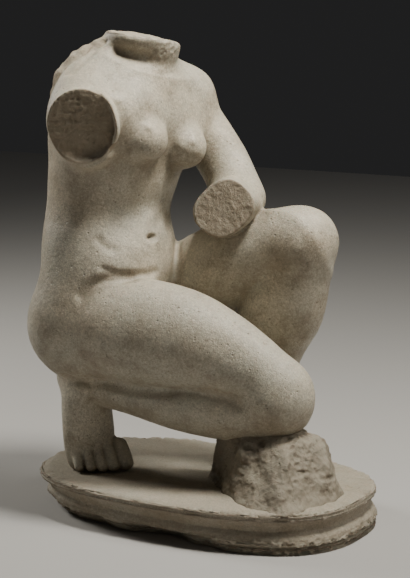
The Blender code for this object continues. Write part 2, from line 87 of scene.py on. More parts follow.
class Mask(Enum):
    """The wear, painted shade and painted overhead light that the carving hands to the marble's colour, each
    a number from 0 to 1 on every point.
    """

    CREASE = "crease"
    # Painted shade: darker where other parts of the marble lie close outside a point.
    PAINTED_SHADE = "painted_shade"
    RAISED = "raised"
    BROKEN = "broken"
    # Painted light from above: lighter where the surface faces up, painted shade where it faces down.
    PAINTED_OVERHEAD_LIGHT = "painted_overhead_light"


def unit(vector: Array | Place) -> Array:
    """Vectors at length one: each row divided by the root of its summed squares.

    Args:
        vector: One vector, or rows of vectors.

    Returns:
        The same directions at length one.
    """
    rows = np.asarray(vector, float)
    return rows / np.linalg.norm(rows, axis=-1, keepdims=True)


def turned(yaw: float = 0.0, pitch: float = 0.0, roll: float = 0.0) -> Array:
    """Axes turned about up, then left, then ahead: the product of the three rotation matrices.

    Args:
        yaw: Degrees about the upward axis.
        pitch: Degrees about the axis to the left.
        roll: Degrees about the axis ahead.

    Returns:
        A 3 by 3 array whose columns are ahead, left and up.
    """
    y, p, r = np.radians([yaw, pitch, roll])
    about_up = np.array([[np.cos(y), -np.sin(y), 0], [np.sin(y), np.cos(y), 0], [0, 0, 1]])
    about_left = np.array([[np.cos(p), 0, np.sin(p)], [0, 1, 0], [-np.sin(p), 0, np.cos(p)]])
    about_ahead = np.array([[1, 0, 0], [0, np.cos(r), -np.sin(r)], [0, np.sin(r), np.cos(r)]])
    return about_up @ about_left @ about_ahead


def melt(a: Array, b: Array, width: float | Array) -> Array:
    """The union of two forms with a fillet: their minimum, less a parabola where they are nearly equal.

    Args:
        a: One form's values.
        b: The other form's values.
        width: How wide the fillet is, in steps.

    Returns:
        The melted form's values.
    """
    overlap = np.maximum(width - np.abs(a - b), 0) / width
    return np.minimum(a, b) - overlap * overlap * width * 0.25


def near(p: Array, centre: Place, reach: Place) -> Array:
    """A weight that is one at the centre and fades as a bell curve over the reach along each axis.

    Args:
        p: Points, as rows.
        centre: The middle of the bell.
        reach: Its half widths along the axes.

    Returns:
        One weight for each point.
    """
    return np.exp(-(((p - np.array(centre)) / np.array(reach)) ** 2).sum(-1))


def between(low: float, high: float, values: Array) -> Array:
    """A soft step: 0 up to low, 1 from high on, and 3t squared less 2t cubed between, either way round."""
    t = np.clip((values - low) / (high - low), 0, 1)
    return t * t * (3 - 2 * t)


def smooth_rows(rows: Array | tuple, count: int) -> Array:
    """Rows read from a Catmull-Rom curve through the given rows.

    Args:
        rows: The rows that the curve passes through.
        count: How many rows to read, evenly along the curve's parameter.

    Returns:
        The rows read from the curve.
    """
    rows = np.asarray(rows, float)
    last = len(rows) - 1
    ends = np.vstack([2 * rows[0] - rows[1], rows, 2 * rows[-1] - rows[-2]])
    t = np.linspace(0, last, count)
    i = np.minimum(t.astype(int), last - 1)
    f = (t - i)[:, None]
    a, b, c, d = ends[i], ends[i + 1], ends[i + 2], ends[i + 3]
    return 0.5 * (2 * b + (c - a) * f + (2 * a - 5 * b + 4 * c - d) * f**2 + (3 * b - a - 3 * c + d) * f**3)


@dataclass
class Unevenness:
    """Smooth random heights: cubic-faded blends of seeded values at the corners of a cubic lattice."""

    cell: float
    seed: int
    size: int = 32

    @cached_property
    def corners(self) -> Array:
        """The lattice of seeded values from -1 to 1, which repeats every size cells."""
        return np.random.default_rng(self.seed).uniform(-1, 1, (self.size,) * 3)

    def at(self, p: Array) -> Array:
        """Heights from -1 to 1 at some points.

        Args:
            p: Points, as rows.

        Returns:
            One height for each point.
        """
        q = p / self.cell
        low = np.floor(q).astype(int)
        f = q - low
        f = f * f * (3 - 2 * f)
        total = np.zeros(len(p))
        for corner in np.ndindex(2, 2, 2):
            share = np.where(corner, f, 1 - f).prod(-1)
            i, j, k = ((low + corner) % self.size).T
            total += share * self.corners[i, j, k]
        return total


@dataclass(eq=False)
class Swelling:
    """A mass of flesh or bone: an ellipsoid about a centre, turned by yaw, pitch and roll."""

    centre: Place
    radii: Place
    axes: Array = field(default_factory=lambda: np.eye(3))

    def form(self, p: Array) -> Array:
        """The ellipsoid's first-order distance: k0 (k0 - 1) / k1, exact at the surface.

        Args:
            p: Points, as rows.

        Returns:
            One value for each point, negative inside.
        """
        q = (p - np.array(self.centre)) @ self.axes
        radii = np.array(self.radii)
        reach = np.sqrt(((q / radii) ** 2).sum(-1))
        slope = np.sqrt(((q / radii**2) ** 2).sum(-1))
        return reach * (reach - 1) / np.maximum(slope, TINY)

    def blocks(self) -> Blocks:
        """Centres, axes and radii of the block-out, each with one row."""
        return np.array([self.centre]), self.axes[None], np.array([self.radii])


@dataclass(eq=False)
class Limb:
    """A tapering limb through stations of x, y, z, half breadth and half thickness."""

    stations: tuple[Place, ...]
    side: Place | tuple[Place, ...]
    cap: float = 1.0
    power: float = 2.0
    count: int = 26
    evened: float = NEARBY

    @cached_property
    def rows(self) -> tuple[Array, Array, Array, Array]:
        """Centres, half sizes, breadth directions and thickness directions along the smoothed axis."""
        rows = smooth_rows(self.stations, self.count)
        centres = rows[:, :3]
        along = unit(np.gradient(centres, axis=0))
        if np.ndim(self.side) == 2:
            side = smooth_rows(self.side, self.count)
        else:
            side = np.broadcast_to(np.array(self.side, float), centres.shape)
        thickness = unit(np.cross(along, side))
        return centres, np.maximum(rows[:, 3:5], 4.0), np.cross(thickness, along), thickness

    def form(self, p: Array) -> Array:
        """The distance to the oval section at the nearest place along the axis.

        The place is a weighted mean of the nearest points on the axis's pieces, so the surface runs smoothly
        from piece to piece. The section is a superellipse, and the ends are rounded caps.

        Args:
            p: Points, as rows.

        Returns:
            One value for each point, negative inside, and FAR well away from the limb.
        """
        centres, halves, *_ = self.rows
        reach = halves.max() + FAR
        inside = ((p > centres.min(0) - reach) & (p < centres.max(0) + reach)).all(-1)
        form = np.full(len(p), FAR)
        q = p[inside]
        if not len(q):
            return form
        start, run = centres[:-1], np.diff(centres, axis=0)
        length2 = (run * run).sum(-1)
        dots = q @ run.T - (start * run).sum(-1)
        t = np.clip(dots / length2, 0, 1)
        gap2 = (q * q).sum(-1)[:, None] + (start * start).sum(-1) - 2 * q @ start.T
        gap2 = gap2 - 2 * t * dots + t * t * length2
        mean = halves.mean(1)
        gap2 -= (mean[:-1] + np.diff(mean) * t) ** 2
        weight = np.exp(-(gap2 - gap2.min(1)[:, None]) / self.evened**2)
        place = (weight * (np.arange(len(run)) + t)).sum(1) / weight.sum(1)
        i = np.minimum(place.astype(int), len(run) - 1)
        share = (place - i)[:, None]
        centre, half, wide, deep = (rows[i] * (1 - share) + rows[i + 1] * share for rows in self.rows)
        q = q - centre
        across = (q * wide).sum(-1)
        through = (q * deep).sum(-1)
        lengthwise = (q * np.cross(wide, deep)).sum(-1)
        to_end = np.clip(np.minimum(place, len(run) - place), 0, 1)
        end = half.mean(1) * to_end + self.cap * half.min(1) * (1 - to_end)
        sizes = np.stack([half[:, 0], half[:, 1], end])
        parts = np.abs(np.stack([across, through, lengthwise]))
        near_unit = ((parts / sizes) ** self.power).sum(0) ** (1 / self.power)
        slope = np.sqrt(((parts / sizes**2) ** 2).sum(0))
        form[inside] = near_unit * (near_unit - 1) / np.maximum(slope, TINY)
        return form

    def blocks(self) -> Blocks:
        """Centres, axes and radii of the limb's block-out, one row for every second place along it."""
        centres, halves, breadth, thickness = (rows[::2] for rows in self.rows)
        axes = np.stack([breadth, thickness, np.cross(breadth, thickness)], axis=2)
        return centres, axes, np.column_stack([halves, halves.min(1)])


@dataclass(eq=False)
class Furrow:
    """A line carved into the skin, or raised from it where the depth is negative."""

    path: tuple[Place, ...]
    width: float
    depth: float

    def form(self, p: Array) -> Array:
        """What the furrow adds to a form: its depth times a bell curve of the distance to the path.

        Args:
            p: Points, as rows.

        Returns:
            One value for each point.
        """
        line = smooth_rows(self.path, 4 * len(self.path))
        reach = 3 * self.width
        inside = ((p > line.min(0) - reach) & (p < line.max(0) + reach)).all(-1)
        added = np.zeros(len(p))
        q = p[inside]
        start, run = line[:-1], np.diff(line, axis=0)
        t = np.clip((q @ run.T - (start * run).sum(-1)) / (run * run).sum(-1), 0, 1)
        gaps = q[:, None, :] - start - t[..., None] * run
        nearest2 = (gaps * gaps).sum(-1).min(1) if len(q) else np.zeros(0)
        added[inside] = self.depth * np.exp(-nearest2 / self.width**2)
        return added


@dataclass(eq=False)
class Fracture:
    """A broken face: a plane through a place, facing outwards, that ends a limb unevenly."""

    at: Place
    faces: Place
    rounding: float = 3.0
    roughness: float = 1.4
    deep: float = 3.0

    def height(self, p: Array) -> Array:
        """How far points stand out from the broken face."""
        return (p - np.array(self.at)) @ unit(self.faces)

    def end(self, form: Array, p: Array) -> Array:
        """Ends a form at the broken face, with hollows and sharp ridges in it, none of them above the plane.

        Args:
            form: The form's values.
            p: Points, as rows.

        Returns:
            The values of what lies behind the face.
        """
        lumps = np.abs(Unevenness(17, 5).at(p)) * 2.4 + np.abs(Unevenness(7, 6).at(p)) * 1.2
        return -melt(-form, -(self.height(p) + self.roughness * lumps), self.rounding)

    def mask(self, p: Array, form: Array) -> Array:
        """How much of each point belongs to the broken face: 1 on it, fading over a few steps around it."""
        return between(-self.deep, -0.4 * self.deep, self.height(p)) * between(6.0, 3.0, form)


@dataclass
class Trunk:
    """Pelvis, belly, back, chest, shoulders and neck stump."""

    core: Limb = Limb(
        (
            (-174, -10, 204, 98, 64),
            (-174, -10, 228, 120, 84),
            (-174, -8, 262, 133, 91),
            (-176, -6, 305, 132, 93),
            (-179, -6, 350, 122, 92),
            (-178, -6, 395, 108, 89),
            (-174, -5, 440, 105, 88),
            (-165, -4, 485, 112, 91),
            (-150, -1, 530, 118, 87),
            (-134, 2, 570, 114, 72),
            (-120, 4, 603, 85, 52),
        ),
        ((-0.07, 1, 0),) * 4 + ((0, 1, 0), (0.1, 1, 0)) + ((0.2, 1, 0),) * 5,
        cap=0.6,
        power=2.25,
        evened=24.0,
    )
    neck: Limb = Limb(
        (
            (-130, 2, 585, 52, 50),
            (-123, 2, 622, 45, 43),
            (-116, 2, 655, 43, 42),
            (-110, 2, 684, 56, 55),
            (-108, 2, 712, 59, 58),
            (-107, 2, 745, 60, 60),
        ),
        (0.2, 1, 0),
    )
    yoke: Limb = Limb(
        (
            (-155, -120, 578, 34, 34),
            (-172, -85, 617, 34, 34),
            (-160, -40, 642, 36, 34),
            (-135, 6, 642, 40, 34),
            (-116, 56, 626, 33, 30),
            (-98, 108, 600, 31, 32),
        ),
        UPWARD,
    )
    neck_break: Fracture = Fracture((-110, 2, 690), (0.06, 0.15, 1.0), 9.0, 1.8)
    nape_locks: Limb = Limb(
        (
            (-130, -13, 676, 13, 11),
            (-155, -42, 677, 14, 13),
            (-182, -70, 660, 15, 13),
            (-200, -95, 629, 14, 12),
            (-203, -112, 598, 10, 9),
        ),
        (-0.8, -0.4, 0.5),
    )
    chest_axes: Array = field(default_factory=lambda: turned(-12, 8, -11))
    back_axes: Array = field(default_factory=lambda: turned(-12, 8))
    lock_hollow: Furrow = Furrow(
        ((-168, -65, 680), (-172, -81, 670), (-176, -93, 662), (-177, -106, 651), (-177, -118, 640)), 4.5, 8
    )
    lock_edge: Furrow = Furrow(
        ((-149, -57, 685), (-155, -70, 674), (-159, -89, 661), (-164, -104, 650), (-166, -120, 638)), 5, 4.5
    )
    throat: Furrow = Furrow(((-124, -52, 668), (-104, -50, 665), (-84, -40, 661)), 12, 8)

    def pair(
        self, ahead: float, offset: Place, radii: Place, spread: float, origin: Place, axes: Array
    ) -> list[Swelling]:
        """Two swellings mirrored about the midline of turned axes, each turned outwards.

        Args:
            ahead: How far in front of the origin both lie.
            offset: How far each lies from the midline, and how far up.
            radii: Their radii.
            spread: Degrees by which each turns outwards.
            origin: Where the axes start.
            axes: The turned axes.

        Returns:
            The right and the left swelling.
        """
        across, up = offset
        swellings = []
        for side in (-1, 1):
            place = np.array(origin) + axes @ np.array([ahead, side * across, up])
            swellings.append(Swelling(tuple(place), radii, axes @ turned(side * spread)))
        return swellings

    @cached_property
    def masses(self) -> list[tuple[Swelling, float]]:
        """Every swelling of the trunk with the width of its fillet."""
        shoulders = [Swelling((-148, -116, 562), (54, 46, 58)), Swelling((-103, 108, 584), (46, 43, 47))]
        pectorals = self.pair(50, (55, -2), (30, 62, 45), 0, (-135, 0, 560), self.chest_axes)
        blades = self.pair(-56, (60, 8), (26, 40, 56), 0, (-150, 0, 540), self.back_axes)
        breasts = self.pair(66, (45, 4), (42, 37, 37), 16, (-136, 2, 533), self.chest_axes)
        belly = Swelling((-124, -24, 326), (54, 84, 74), turned(-4, -6))
        buttocks = self.pair(0, (58, 0), (76, 70, 72), 0, (-200, -10, 236), np.eye(3))
        melted = [(mass, 40.0) for mass in shoulders] + [(mass, 30.0) for mass in pectorals + blades]
        melted += [(mass, 14.0) for mass in breasts] + [(mass, 48.0) for mass in [belly] + buttocks]
        return melted

    def form(self, p: Array) -> Array:
        """The melted trunk with its neck's break, nape locks, throat, spine, cleft, navel and nipples.

        Args:
            p: Points, as rows.

        Returns:
            One value for each point, negative inside.
        """
        form = melt(self.core.form(p), self.neck_break.end(self.neck.form(p), p), 30)
        form = melt(form, self.yoke.form(p), 45)
        for mass, width in self.masses:
            form = melt(form, mass.form(p), width)
        form = melt(form, self.nape_locks.form(p) + 2.2 * Unevenness(11, 8).at(p), 4)
        form += self.lock_hollow.form(p) + self.lock_edge.form(p) + self.throat.form(p)
        form += 4.0 * np.abs(Unevenness(8, 9).at(p)) * near(p, (-62, -12, 672), (28, 34, 13))
        x, y, z = p.T
        behind = np.clip((-190 - x) / 30, 0, 1)
        spine = np.exp(-(((y + 6) / 14) ** 2)) * behind * np.clip((z - 270) / 60, 0, 1)
        spine *= np.clip((600 - z) / 60, 0, 1)
        cleft = np.exp(-(((y + 10) / 9) ** 2)) * behind * np.clip((265 - z) / 50, 0, 1)
        form += 7 * spine + 12 * cleft + 9 * near(p, (-80, -34, 378), (11, 10, 5))
        form -= 2.0 * near(p, (-77, -34, 378), (14, 15, 12))
        return form - 3 * (near(p, (-53, -78, 557), (6, 6, 6)) + near(p, (-29, 14, 529), (6, 6, 6)))

    def blocks(self) -> list[Blocks]:
        """The trunk's block-out, without what the break takes away."""
        kept = Limb(self.neck.stations[:3] + ((-113, 2, 660, 47, 46),), self.neck.side)
        limbs = [self.core, kept, self.yoke, self.nape_locks]
        return [part.blocks() for part in limbs + [mass for mass, _ in self.masses]]


@dataclass
class Arms:
    """The right arm's stump and the left arm down to its broken forearm."""

    stump: Limb = Limb(
        ((-147, -109, 564, 57, 54), (-130, -151, 562, 56, 53), (-107, -201, 556, 54, 52)),
        UPWARD,
    )
    stump_break: Fracture = Fracture((-128, -145, 560), (0.45, -0.88, -0.22), 2.0, 1.2, 8.0)
    upper: Limb = Limb(
        (
            (-106, 112, 585, 41, 44),
            (-82, 120, 545, 40, 44),
            (-44, 118, 500, 38, 43),
            (-12, 106, 462, 37, 42),
            (12, 89, 432, 36, 40),
        ),
        LATERAL,
    )
    forearm: Limb = Limb(
        ((6, 88, 430, 39, 39), (20, 48, 428, 42, 42), (31, 10, 428, 46, 40), (34, -30, 428, 46, 40)),
        (0.61, 0.36, 0.71),
        power=2.5,
    )
    forearm_break: Fracture = Fracture((38, 4, 428), (0.42, -0.90, 0.05), 2.5, 0.5)
    torn_rim: Limb = Limb(
        (
            (-114, -134, 612, 5, 6),
            (-101, -132, 607, 8, 5.5),
            (-91, -130, 597, 9, 5),
            (-85, -128, 585, 10, 4.5),
            (-81, -127, 570, 10, 4),
            (-81, -125, 555, 8, 4),
            (-85, -124, 543, 6, 4),
            (-91, -122, 532, 4, 4),
        ),
        (0.45, -0.88, -0.10),
    )
    armpit: Furrow = Furrow(
        ((-81, -122, 590), (-75, -119, 574), (-74, -116, 558), (-79, -116, 541), (-90, -118, 522)), 9, 9
    )

    def joined(self, form: Array, p: Array) -> Array:
        """Adds both arms to the trunk's form, and cuts the right one off flat at its break.

        Args:
            form: The trunk's values.
            p: Points, as rows.

        Returns:
            The values of the trunk with its arms.
        """
        stump = self.stump.form(p)
        width = 8 + 34 * near(p, (-125, -135, 505), (50, 40, 30))
        form = melt(form, self.stump_break.end(stump, p), width) + self.armpit.form(p)
        flakes = 4.0 * np.abs(Unevenness(7, 15).at(p)) * near(p, (-146, -158, 590), (44, 30, 36))
        beyond = self.stump_break.height(p) + flakes + np.abs(Unevenness(15, 5).at(p)) * 2
        lost = -melt(beyond, 3 - stump, 3 + 22 * near(p, (-112, -145, 510), (60, 45, 22)))
        form = -melt(-form, lost, 2)
        form = melt(form, self.torn_rim.form(p), 4)
        arm = melt(self.upper.form(p), self.forearm_break.end(self.forearm.form(p), p), 20)
        return melt(form, arm, CREASE + 22 * near(p, (-103, 108, 585), (60, 60, 60)))

    def blocks(self) -> list[Blocks]:
        """The arms' block-out, without what the breaks take away."""
        kept_stump = Limb(((-150, -96, 560, 57, 57), (-142, -116, 559, 56, 57)), UPWARD, count=4)
        kept_forearm = Limb(((6, 88, 430, 39, 39), (26, 46, 427, 42, 43)), UPWARD, count=8)
        return [part.blocks() for part in (kept_stump, self.upper, kept_forearm)]


@dataclass
class Foot:
    """A foot with five toes that part from each other in narrow clefts, little toe first."""

    sole: Limb
    ahead: Place
    across: Place
    places: Place
    tips: Place
    roots_at: float
    lengths: Place = (22, 27, 31, 33, 34)
    radii: Place = (8.5, 9.0, 9.5, 10.5, 13.0)
    heel: Swelling | None = None
    bones: tuple[Swelling, ...] = ()

    @cached_property
    def toes(self) -> list[Limb]:
        """Each toe as a short limb that bends down at its tip."""
        ahead, across = unit(self.ahead[:2]), unit(self.across[:2])
        toes = []
        for place, tip, length, radius in zip(self.places, self.tips, self.lengths, self.radii):
            front = ahead * tip + across * place
            rows = (
                (*(front - ahead * length), self.roots_at, radius, radius),
                (*(front - ahead * length * 0.45), self.roots_at * 0.4 + radius * 0.8, radius, radius * 0.95),
                (*front, radius - 1, radius, radius * 0.85),
            )
            toes.append(Limb(rows, self.across, count=8, evened=4.0))
        return toes

    def form(self, p: Array) -> Array:
        """The sole, toes, heel and ankle bones melted together.

        Args:
            p: Points, as rows.

        Returns:
            One value for each point, negative inside.
        """
        tips = self.toes[0].form(p)
        for toe in self.toes[1:]:
            tips = melt(tips, toe.form(p), 1.5)
        form = melt(self.sole.form(p), tips, 7)
        if self.heel:
            form = melt(form, self.heel.form(p), 20)
        for bone in self.bones:
            form = melt(form, bone.form(p), 10)
        return form

    def blocks(self) -> list[Blocks]:
        """The foot's block-out."""
        extra = [self.heel] if self.heel else []
        return [part.blocks() for part in [self.sole, *self.toes, *extra]]


@dataclass
class Leg:
    """A bent leg: thigh and shank melt at the knee and meet in a crease behind it."""

    thigh: Limb
    knee: Swelling
    shank: Limb
    foot: Foot

    def form(self, p: Array) -> Array:
        """Thigh, knee and shank as one form.

        Args:
            p: Points, as rows.

        Returns:
            One value for each point, negative inside.
        """
        width = CREASE + 30 * near(p, tuple(np.array(self.knee.centre) + (5, 0, 0)), (50, 80, 50))
        form = melt(self.thigh.form(p), self.shank.form(p), width)
        return melt(form, self.knee.form(p), 30)

    def blocks(self) -> list[Blocks]:
        """The leg's block-out with its foot."""
        return [part.blocks() for part in (self.thigh, self.knee, self.shank)] + self.foot.blocks()


def right_leg() -> Leg:
    """The folded right leg, kneeling on the rock with its toes bent under.

    Returns:
        The leg with its foot.
    """
    thigh = (
        (-180, -62, 220, 70, 78),
        (-120, -78, 236, 74, 84),
        (-59, -74, 234, 70, 85),
        (0, -64, 227, 66, 80),
        (61, -52, 209, 58, 67),
        (110, -40, 186, 50, 55),
        (145, -32, 160, 46, 48),
    )
    shank = (
        (150, -26, 132, 44, 46),
        (100, -32, 120, 47, 47),
        (45, -40, 121, 49, 50),
        (-20, -48, 125, 46, 47),
        (-85, -54, 128, 37, 37),
        (-135, -58, 130, 31, 31),
        (-172, -60, 131, 30, 31),
    )
    sole = (
        (-188, -60, 160, 37, 33),
        (-187, -62, 120, 40, 37),
        (-184, -64, 85, 42, 33),
        (-180, -66, 55, 43, 27),
        (-177, -68, 30, 42, 19),
        (-174, -70, 14, 40, 13),
    )
    across = (0.63, 0.78, 0.0)
    foot = Foot(
        Limb(sole, across),
        (0.78, -0.63, 0.0),
        across,
        places=(-189, -172, -155, -138, -117),
        tips=(-70, -60, -54, -50, -51),
        roots_at=33.0,
        heel=Swelling((-212, -54, 148), (32, 30, 33)),
        bones=(Swelling((-172, -92, 130), (15, 9, 15)),),
    )
    knee = Swelling((150, -28, 147), (48, 46, 50), turned(8, 35))
    return Leg(Limb(thigh, LATERAL), knee, Limb(shank, LATERAL), foot)


def left_leg() -> Leg:
    """The raised left leg, with its foot flat behind the rock.

    Returns:
        The leg with its foot.
    """
    thigh = (
        (-150, 60, 232, 66, 72),
        (-95, 72, 266, 68, 73),
        (-43, 76, 300, 66, 74),
        (11, 80, 331, 62, 71),
        (62, 81, 355, 56, 62),
        (105, 80, 370, 50, 53),
        (128, 80, 373, 46, 47),
    )
    shank = (
        (134, 80, 370, 46, 46),
        (121, 80, 320, 47, 56),
        (98, 80, 270, 49, 70),
        (77, 82, 220, 47, 62),
        (64, 84, 165, 38, 49),
        (50, 86, 110, 29, 34),
        (38, 87, 65, 27, 31),
        (34, 88, 45, 28, 32),
    )
    sole = (
        (0, 88, 26, 26, 26),
        (30, 89, 40, 28, 40),
        (70, 91, 36, 33, 32),
        (110, 94, 22, 39, 22),
        (136, 97, 14, 40, 14),
        (146, 98, 11, 36, 11),
    )
    foot = Foot(
        Limb(sole, LATERAL),
        (1.0, 0.0, 0.0),
        LATERAL,
        places=(134, 120, 106, 92, 75),
        tips=(150, 160, 167, 171, 172),
        roots_at=14.0,
        bones=(Swelling((36, 114, 62), (13, 9, 14)), Swelling((44, 60, 68), (13, 9, 15))),
    )
    knee = Swelling((131, 79, 373), (50, 46, 51), turned(0, 30))
    return Leg(Limb(thigh, LATERAL), knee, Limb(shank, LATERAL), foot)


@dataclass
class CarvedFigure:
    """The whole body as one form, and the skin that is drawn onto it."""

    trunk: Trunk = field(default_factory=Trunk)
    arms: Arms = field(default_factory=Arms)
    right: Leg = field(default_factory=right_leg)
    left: Leg = field(default_factory=left_leg)
    coarse: float = 9.0
    fine: float = 4.2
    passes: int = 4
    folds: tuple[Furrow, ...] = (
        Furrow(
            (
                (-143, -140, 297), (-130, -132, 311), (-117, -123, 319),
                (-98, -109, 323), (-80, -88, 321),
            ),
            8,
            6,
        ),
        Furrow(
            (
                (-114, -119, 338), (-103, -109, 333), (-89, -94, 328),
                (-74, -74, 326), (-67, -41, 326),
            ),
            5.5,
            3.2,
        ),
        Furrow(((-127, -113, 383), (-114, -111, 371), (-102, -104, 366)), 6, 2.5),
        Furrow(((-78, 46, 356), (-64, 21, 336), (-59, 11, 314)), 6, 5),
        Furrow(
            (
                (-191, -113, 157), (-174, -100, 152), (-148, -94, 152),
                (-124, -90, 146), (-86, -91, 142), (-47, -92, 145),
            ),
            6.5,
            12,
        ),
        Furrow(
            (
                (-47, -92, 145), (-20, -92, 147), (25, -92, 156),
                (68, -88, 157), (90, -81, 148), (106, -79, 137),
            ),
            6.5,
            10,
        ),
        Furrow(((-62, -8, 600), (-53, -10, 565), (-55, -11, 530), (-62, 0, 500)), 9, 2.5),
        Furrow(((-68, 13, 479), (-79, 14, 449), (-87, 6, 417), (-86, -16, 392)), 10, 2),
        Furrow(((-79, -93, 522), (-69, -80, 509), (-62, -62, 503), (-60, -40, 501), (-62, -24, 504)), 6, 3.5),
        Furrow(((-50, -6, 514), (-38, 8, 505), (-30, 22, 503)), 6, 3.0),
        Furrow(((-260, -62, 262), (-268, -40, 292), (-262, -20, 300)), 14, 2.5),
        Furrow(((-74, -16, 638), (-90, -52, 640), (-112, -88, 634)), 8, -2),
        Furrow(
            (
                (62, 73, 420), (115, 51, 421), (147, 41, 410),
                (172, 43, 384), (181, 60, 348), (178, 84, 323),
            ),
            11,
            -3,
        ),
        Furrow(((103, -71, 255), (123, -58, 244), (139, -40, 233)), 3, 1.5),
    )
    focus: tuple[tuple[Place, float], ...] = (
        ((-147, -88, 16), 52.0),
        ((155, 95, 10), 44.0),
        ((-120, -148, 566), 68.0),
        ((36, 6, 428), 52.0),
        ((-95, -25, 676), 66.0),
        ((-166, -80, 668), 40.0),
        ((-80, -32, 378), 18.0),
    )

    def form(self, p: Array) -> Array:
        """Signed distance to the body, negative inside the marble, down to a bed under the plinth's top.

        Args:
            p: Points, as rows, in steps above the plinth's top.

        Returns:
            One value for each point.
        """
        form = self.trunk.form(p)
        form = melt(form, self.right.form(p), CREASE + 55 * near(p, (-232, -115, 235), (52, 70, 85)))
        left = melt(self.left.form(p), self.left.foot.form(p), 14)
        form = melt(form, left, CREASE + 50 * near(p, (-200, 130, 255), (90, 70, 110)))
        form = self.arms.joined(form, p)
        form = melt(form, self.right.foot.form(p), CREASE)
        for fold in self.folds:
            form += fold.form(p)
        return -melt(-form, p[:, 2] + BED_STEPS, 1.0)

    def block_out(self, parts: list[Blocks]) -> bpy.types.Object:
        """Overlapping ellipsoids: a unit ball's points, scaled, turned and moved as one array.

        Args:
            parts: Centres, axes and radii of each part's ellipsoids.

        Returns:
            An object that holds the loose block-out.
        """
        ball = bmesh.new()
        bmesh.ops.create_icosphere(ball, subdivisions=3, radius=1.0)
        points = np.array([vert.co[:] for vert in ball.verts])
        faces = np.array([[vert.index for vert in face.verts] for face in ball.faces])
        ball.free()
        centres, axes, radii = (np.concatenate(rows) for rows in zip(*parts))
        placed = np.einsum("kij,kvj->kvi", axes, points * radii[:, None, :]) + centres[:, None, :]
        shifted = faces + len(points) * np.arange(len(centres))[:, None, None]
        return make_object("body_block_out", placed.reshape(-1, 3) * STEP, shifted.reshape(-1, 3))

    def add_small_parts(self, body: bpy.types.Object) -> None:
        """Lays the toes, the torn rim and the nape's locks over a skin that is too coarse to keep them.

        Args:
            body: The skin.
        """
        toes = [toe.blocks() for foot in (self.right.foot, self.left.foot) for toe in foot.toes]
        small = self.block_out(toes + [self.arms.torn_rim.blocks(), self.trunk.nape_locks.blocks()])
        both = bmesh.new()
        both.from_mesh(body.data)
        both.from_mesh(small.data)
        both.to_mesh(body.data)
        both.free()
        bpy.data.objects.remove(small)

    def build(self, finish: "MarbleFinish") -> None:
        """Blocks the body out, draws the skin onto the form, weathers it and gives it its marble.

        Args:
            finish: The marble.
        """
        parts = self.trunk.blocks() + self.arms.blocks() + self.right.blocks() + self.left.blocks()
        body = self.block_out(parts)
        fine = self.fine * 1.0
        for voxel, passes in ((self.coarse, 5), (fine * 1.6, 4), (fine, self.passes)):
            self.add_small_parts(body)
            remesh(body, voxel * STEP)
            draw_onto(body.data, self.form, passes)
        self.refine(body.data)
        draw_onto(body.data, self.form, 2)
        self.weather(body.data)
        body.data.transform(Matrix.Translation((0, 0, PLINTH_STEPS * STEP)))
        dress(body, "venus_body", finish)

    def refine(self, mesh: bpy.types.Mesh) -> None:
        """Halves the skin's squares around the toes, the breaks, the torn edges and the navel.

        Args:
            mesh: The skin.
        """
        bm = bmesh.new()
        bm.from_mesh(mesh)
        bm.edges.ensure_lookup_table()
        middles = np.array([(edge.verts[0].co + edge.verts[1].co)[:] for edge in bm.edges]) / (2 * STEP)
        chosen = np.zeros(len(middles), bool)
        for centre, radius in self.focus:
            chosen |= ((middles - np.array(centre)) ** 2).sum(-1) < radius**2
        edges = [bm.edges[i] for i in np.flatnonzero(chosen)]
        bmesh.ops.subdivide_edges(bm, edges=edges, cuts=1, use_grid_fill=True)
        bm.to_mesh(mesh)
        bm.free()

    def weather(self, mesh: bpy.types.Mesh) -> None:
        """Presses hand-carved unevenness into the skin and stores the masks that colour it.

        The masks come from the form a little outside and inside each point: in a crease the outer value falls
        short of the distance moved, and on a thin edge the inner value does.

        Args:
            mesh: The skin.
        """
        p, n = points_and_normals(mesh)
        p = p / STEP
        broken = self.broken(p)
        lumps = 0.30 * Unevenness(24, 11).at(p) + 0.16 * Unevenness(9, 12).at(p)
        p = p + n * (lumps - broken * 0.8 * np.abs(Unevenness(5, 13).at(p)))[:, None]
        store_points(mesh, p * STEP)
        outer, wide = self.form(p + 4 * n) / 4, self.form(p + 20 * n) / 20
        inner = -self.form(p - 7 * n) / 7
        store_mask(mesh, Mask.CREASE, np.clip(1.05 - outer, 0, 1))
        # Painted shade: darker where other parts of the body lie within 20 steps outside, like ambient
        # occlusion.
        store_mask(mesh, Mask.PAINTED_SHADE, np.clip(1.0 - wide, 0, 1))
        store_mask(mesh, Mask.RAISED, np.clip(0.9 - inner, 0, 1))
        store_mask(mesh, Mask.BROKEN, broken)
        # Painted light and shade by the direction each point faces.
        store_mask(mesh, Mask.PAINTED_OVERHEAD_LIGHT, painted_overhead_light(n))

    def broken(self, p: Array) -> Array:
        """Where the marble is broken: on the three breaks and along the nape's torn locks.

        Args:
            p: Points, as rows.

        Returns:
            A mask from 0 to 1.
        """
        arms, trunk = self.arms, self.trunk
        faces = [
            trunk.neck_break.mask(p, trunk.neck.form(p)),
            arms.stump_break.mask(p, arms.stump.form(p)),
            arms.forearm_break.mask(p, arms.forearm.form(p)),
            between(4.0, 0.5, trunk.nape_locks.form(p)),
        ]
        return np.clip(np.max(faces, axis=0), 0, 1)


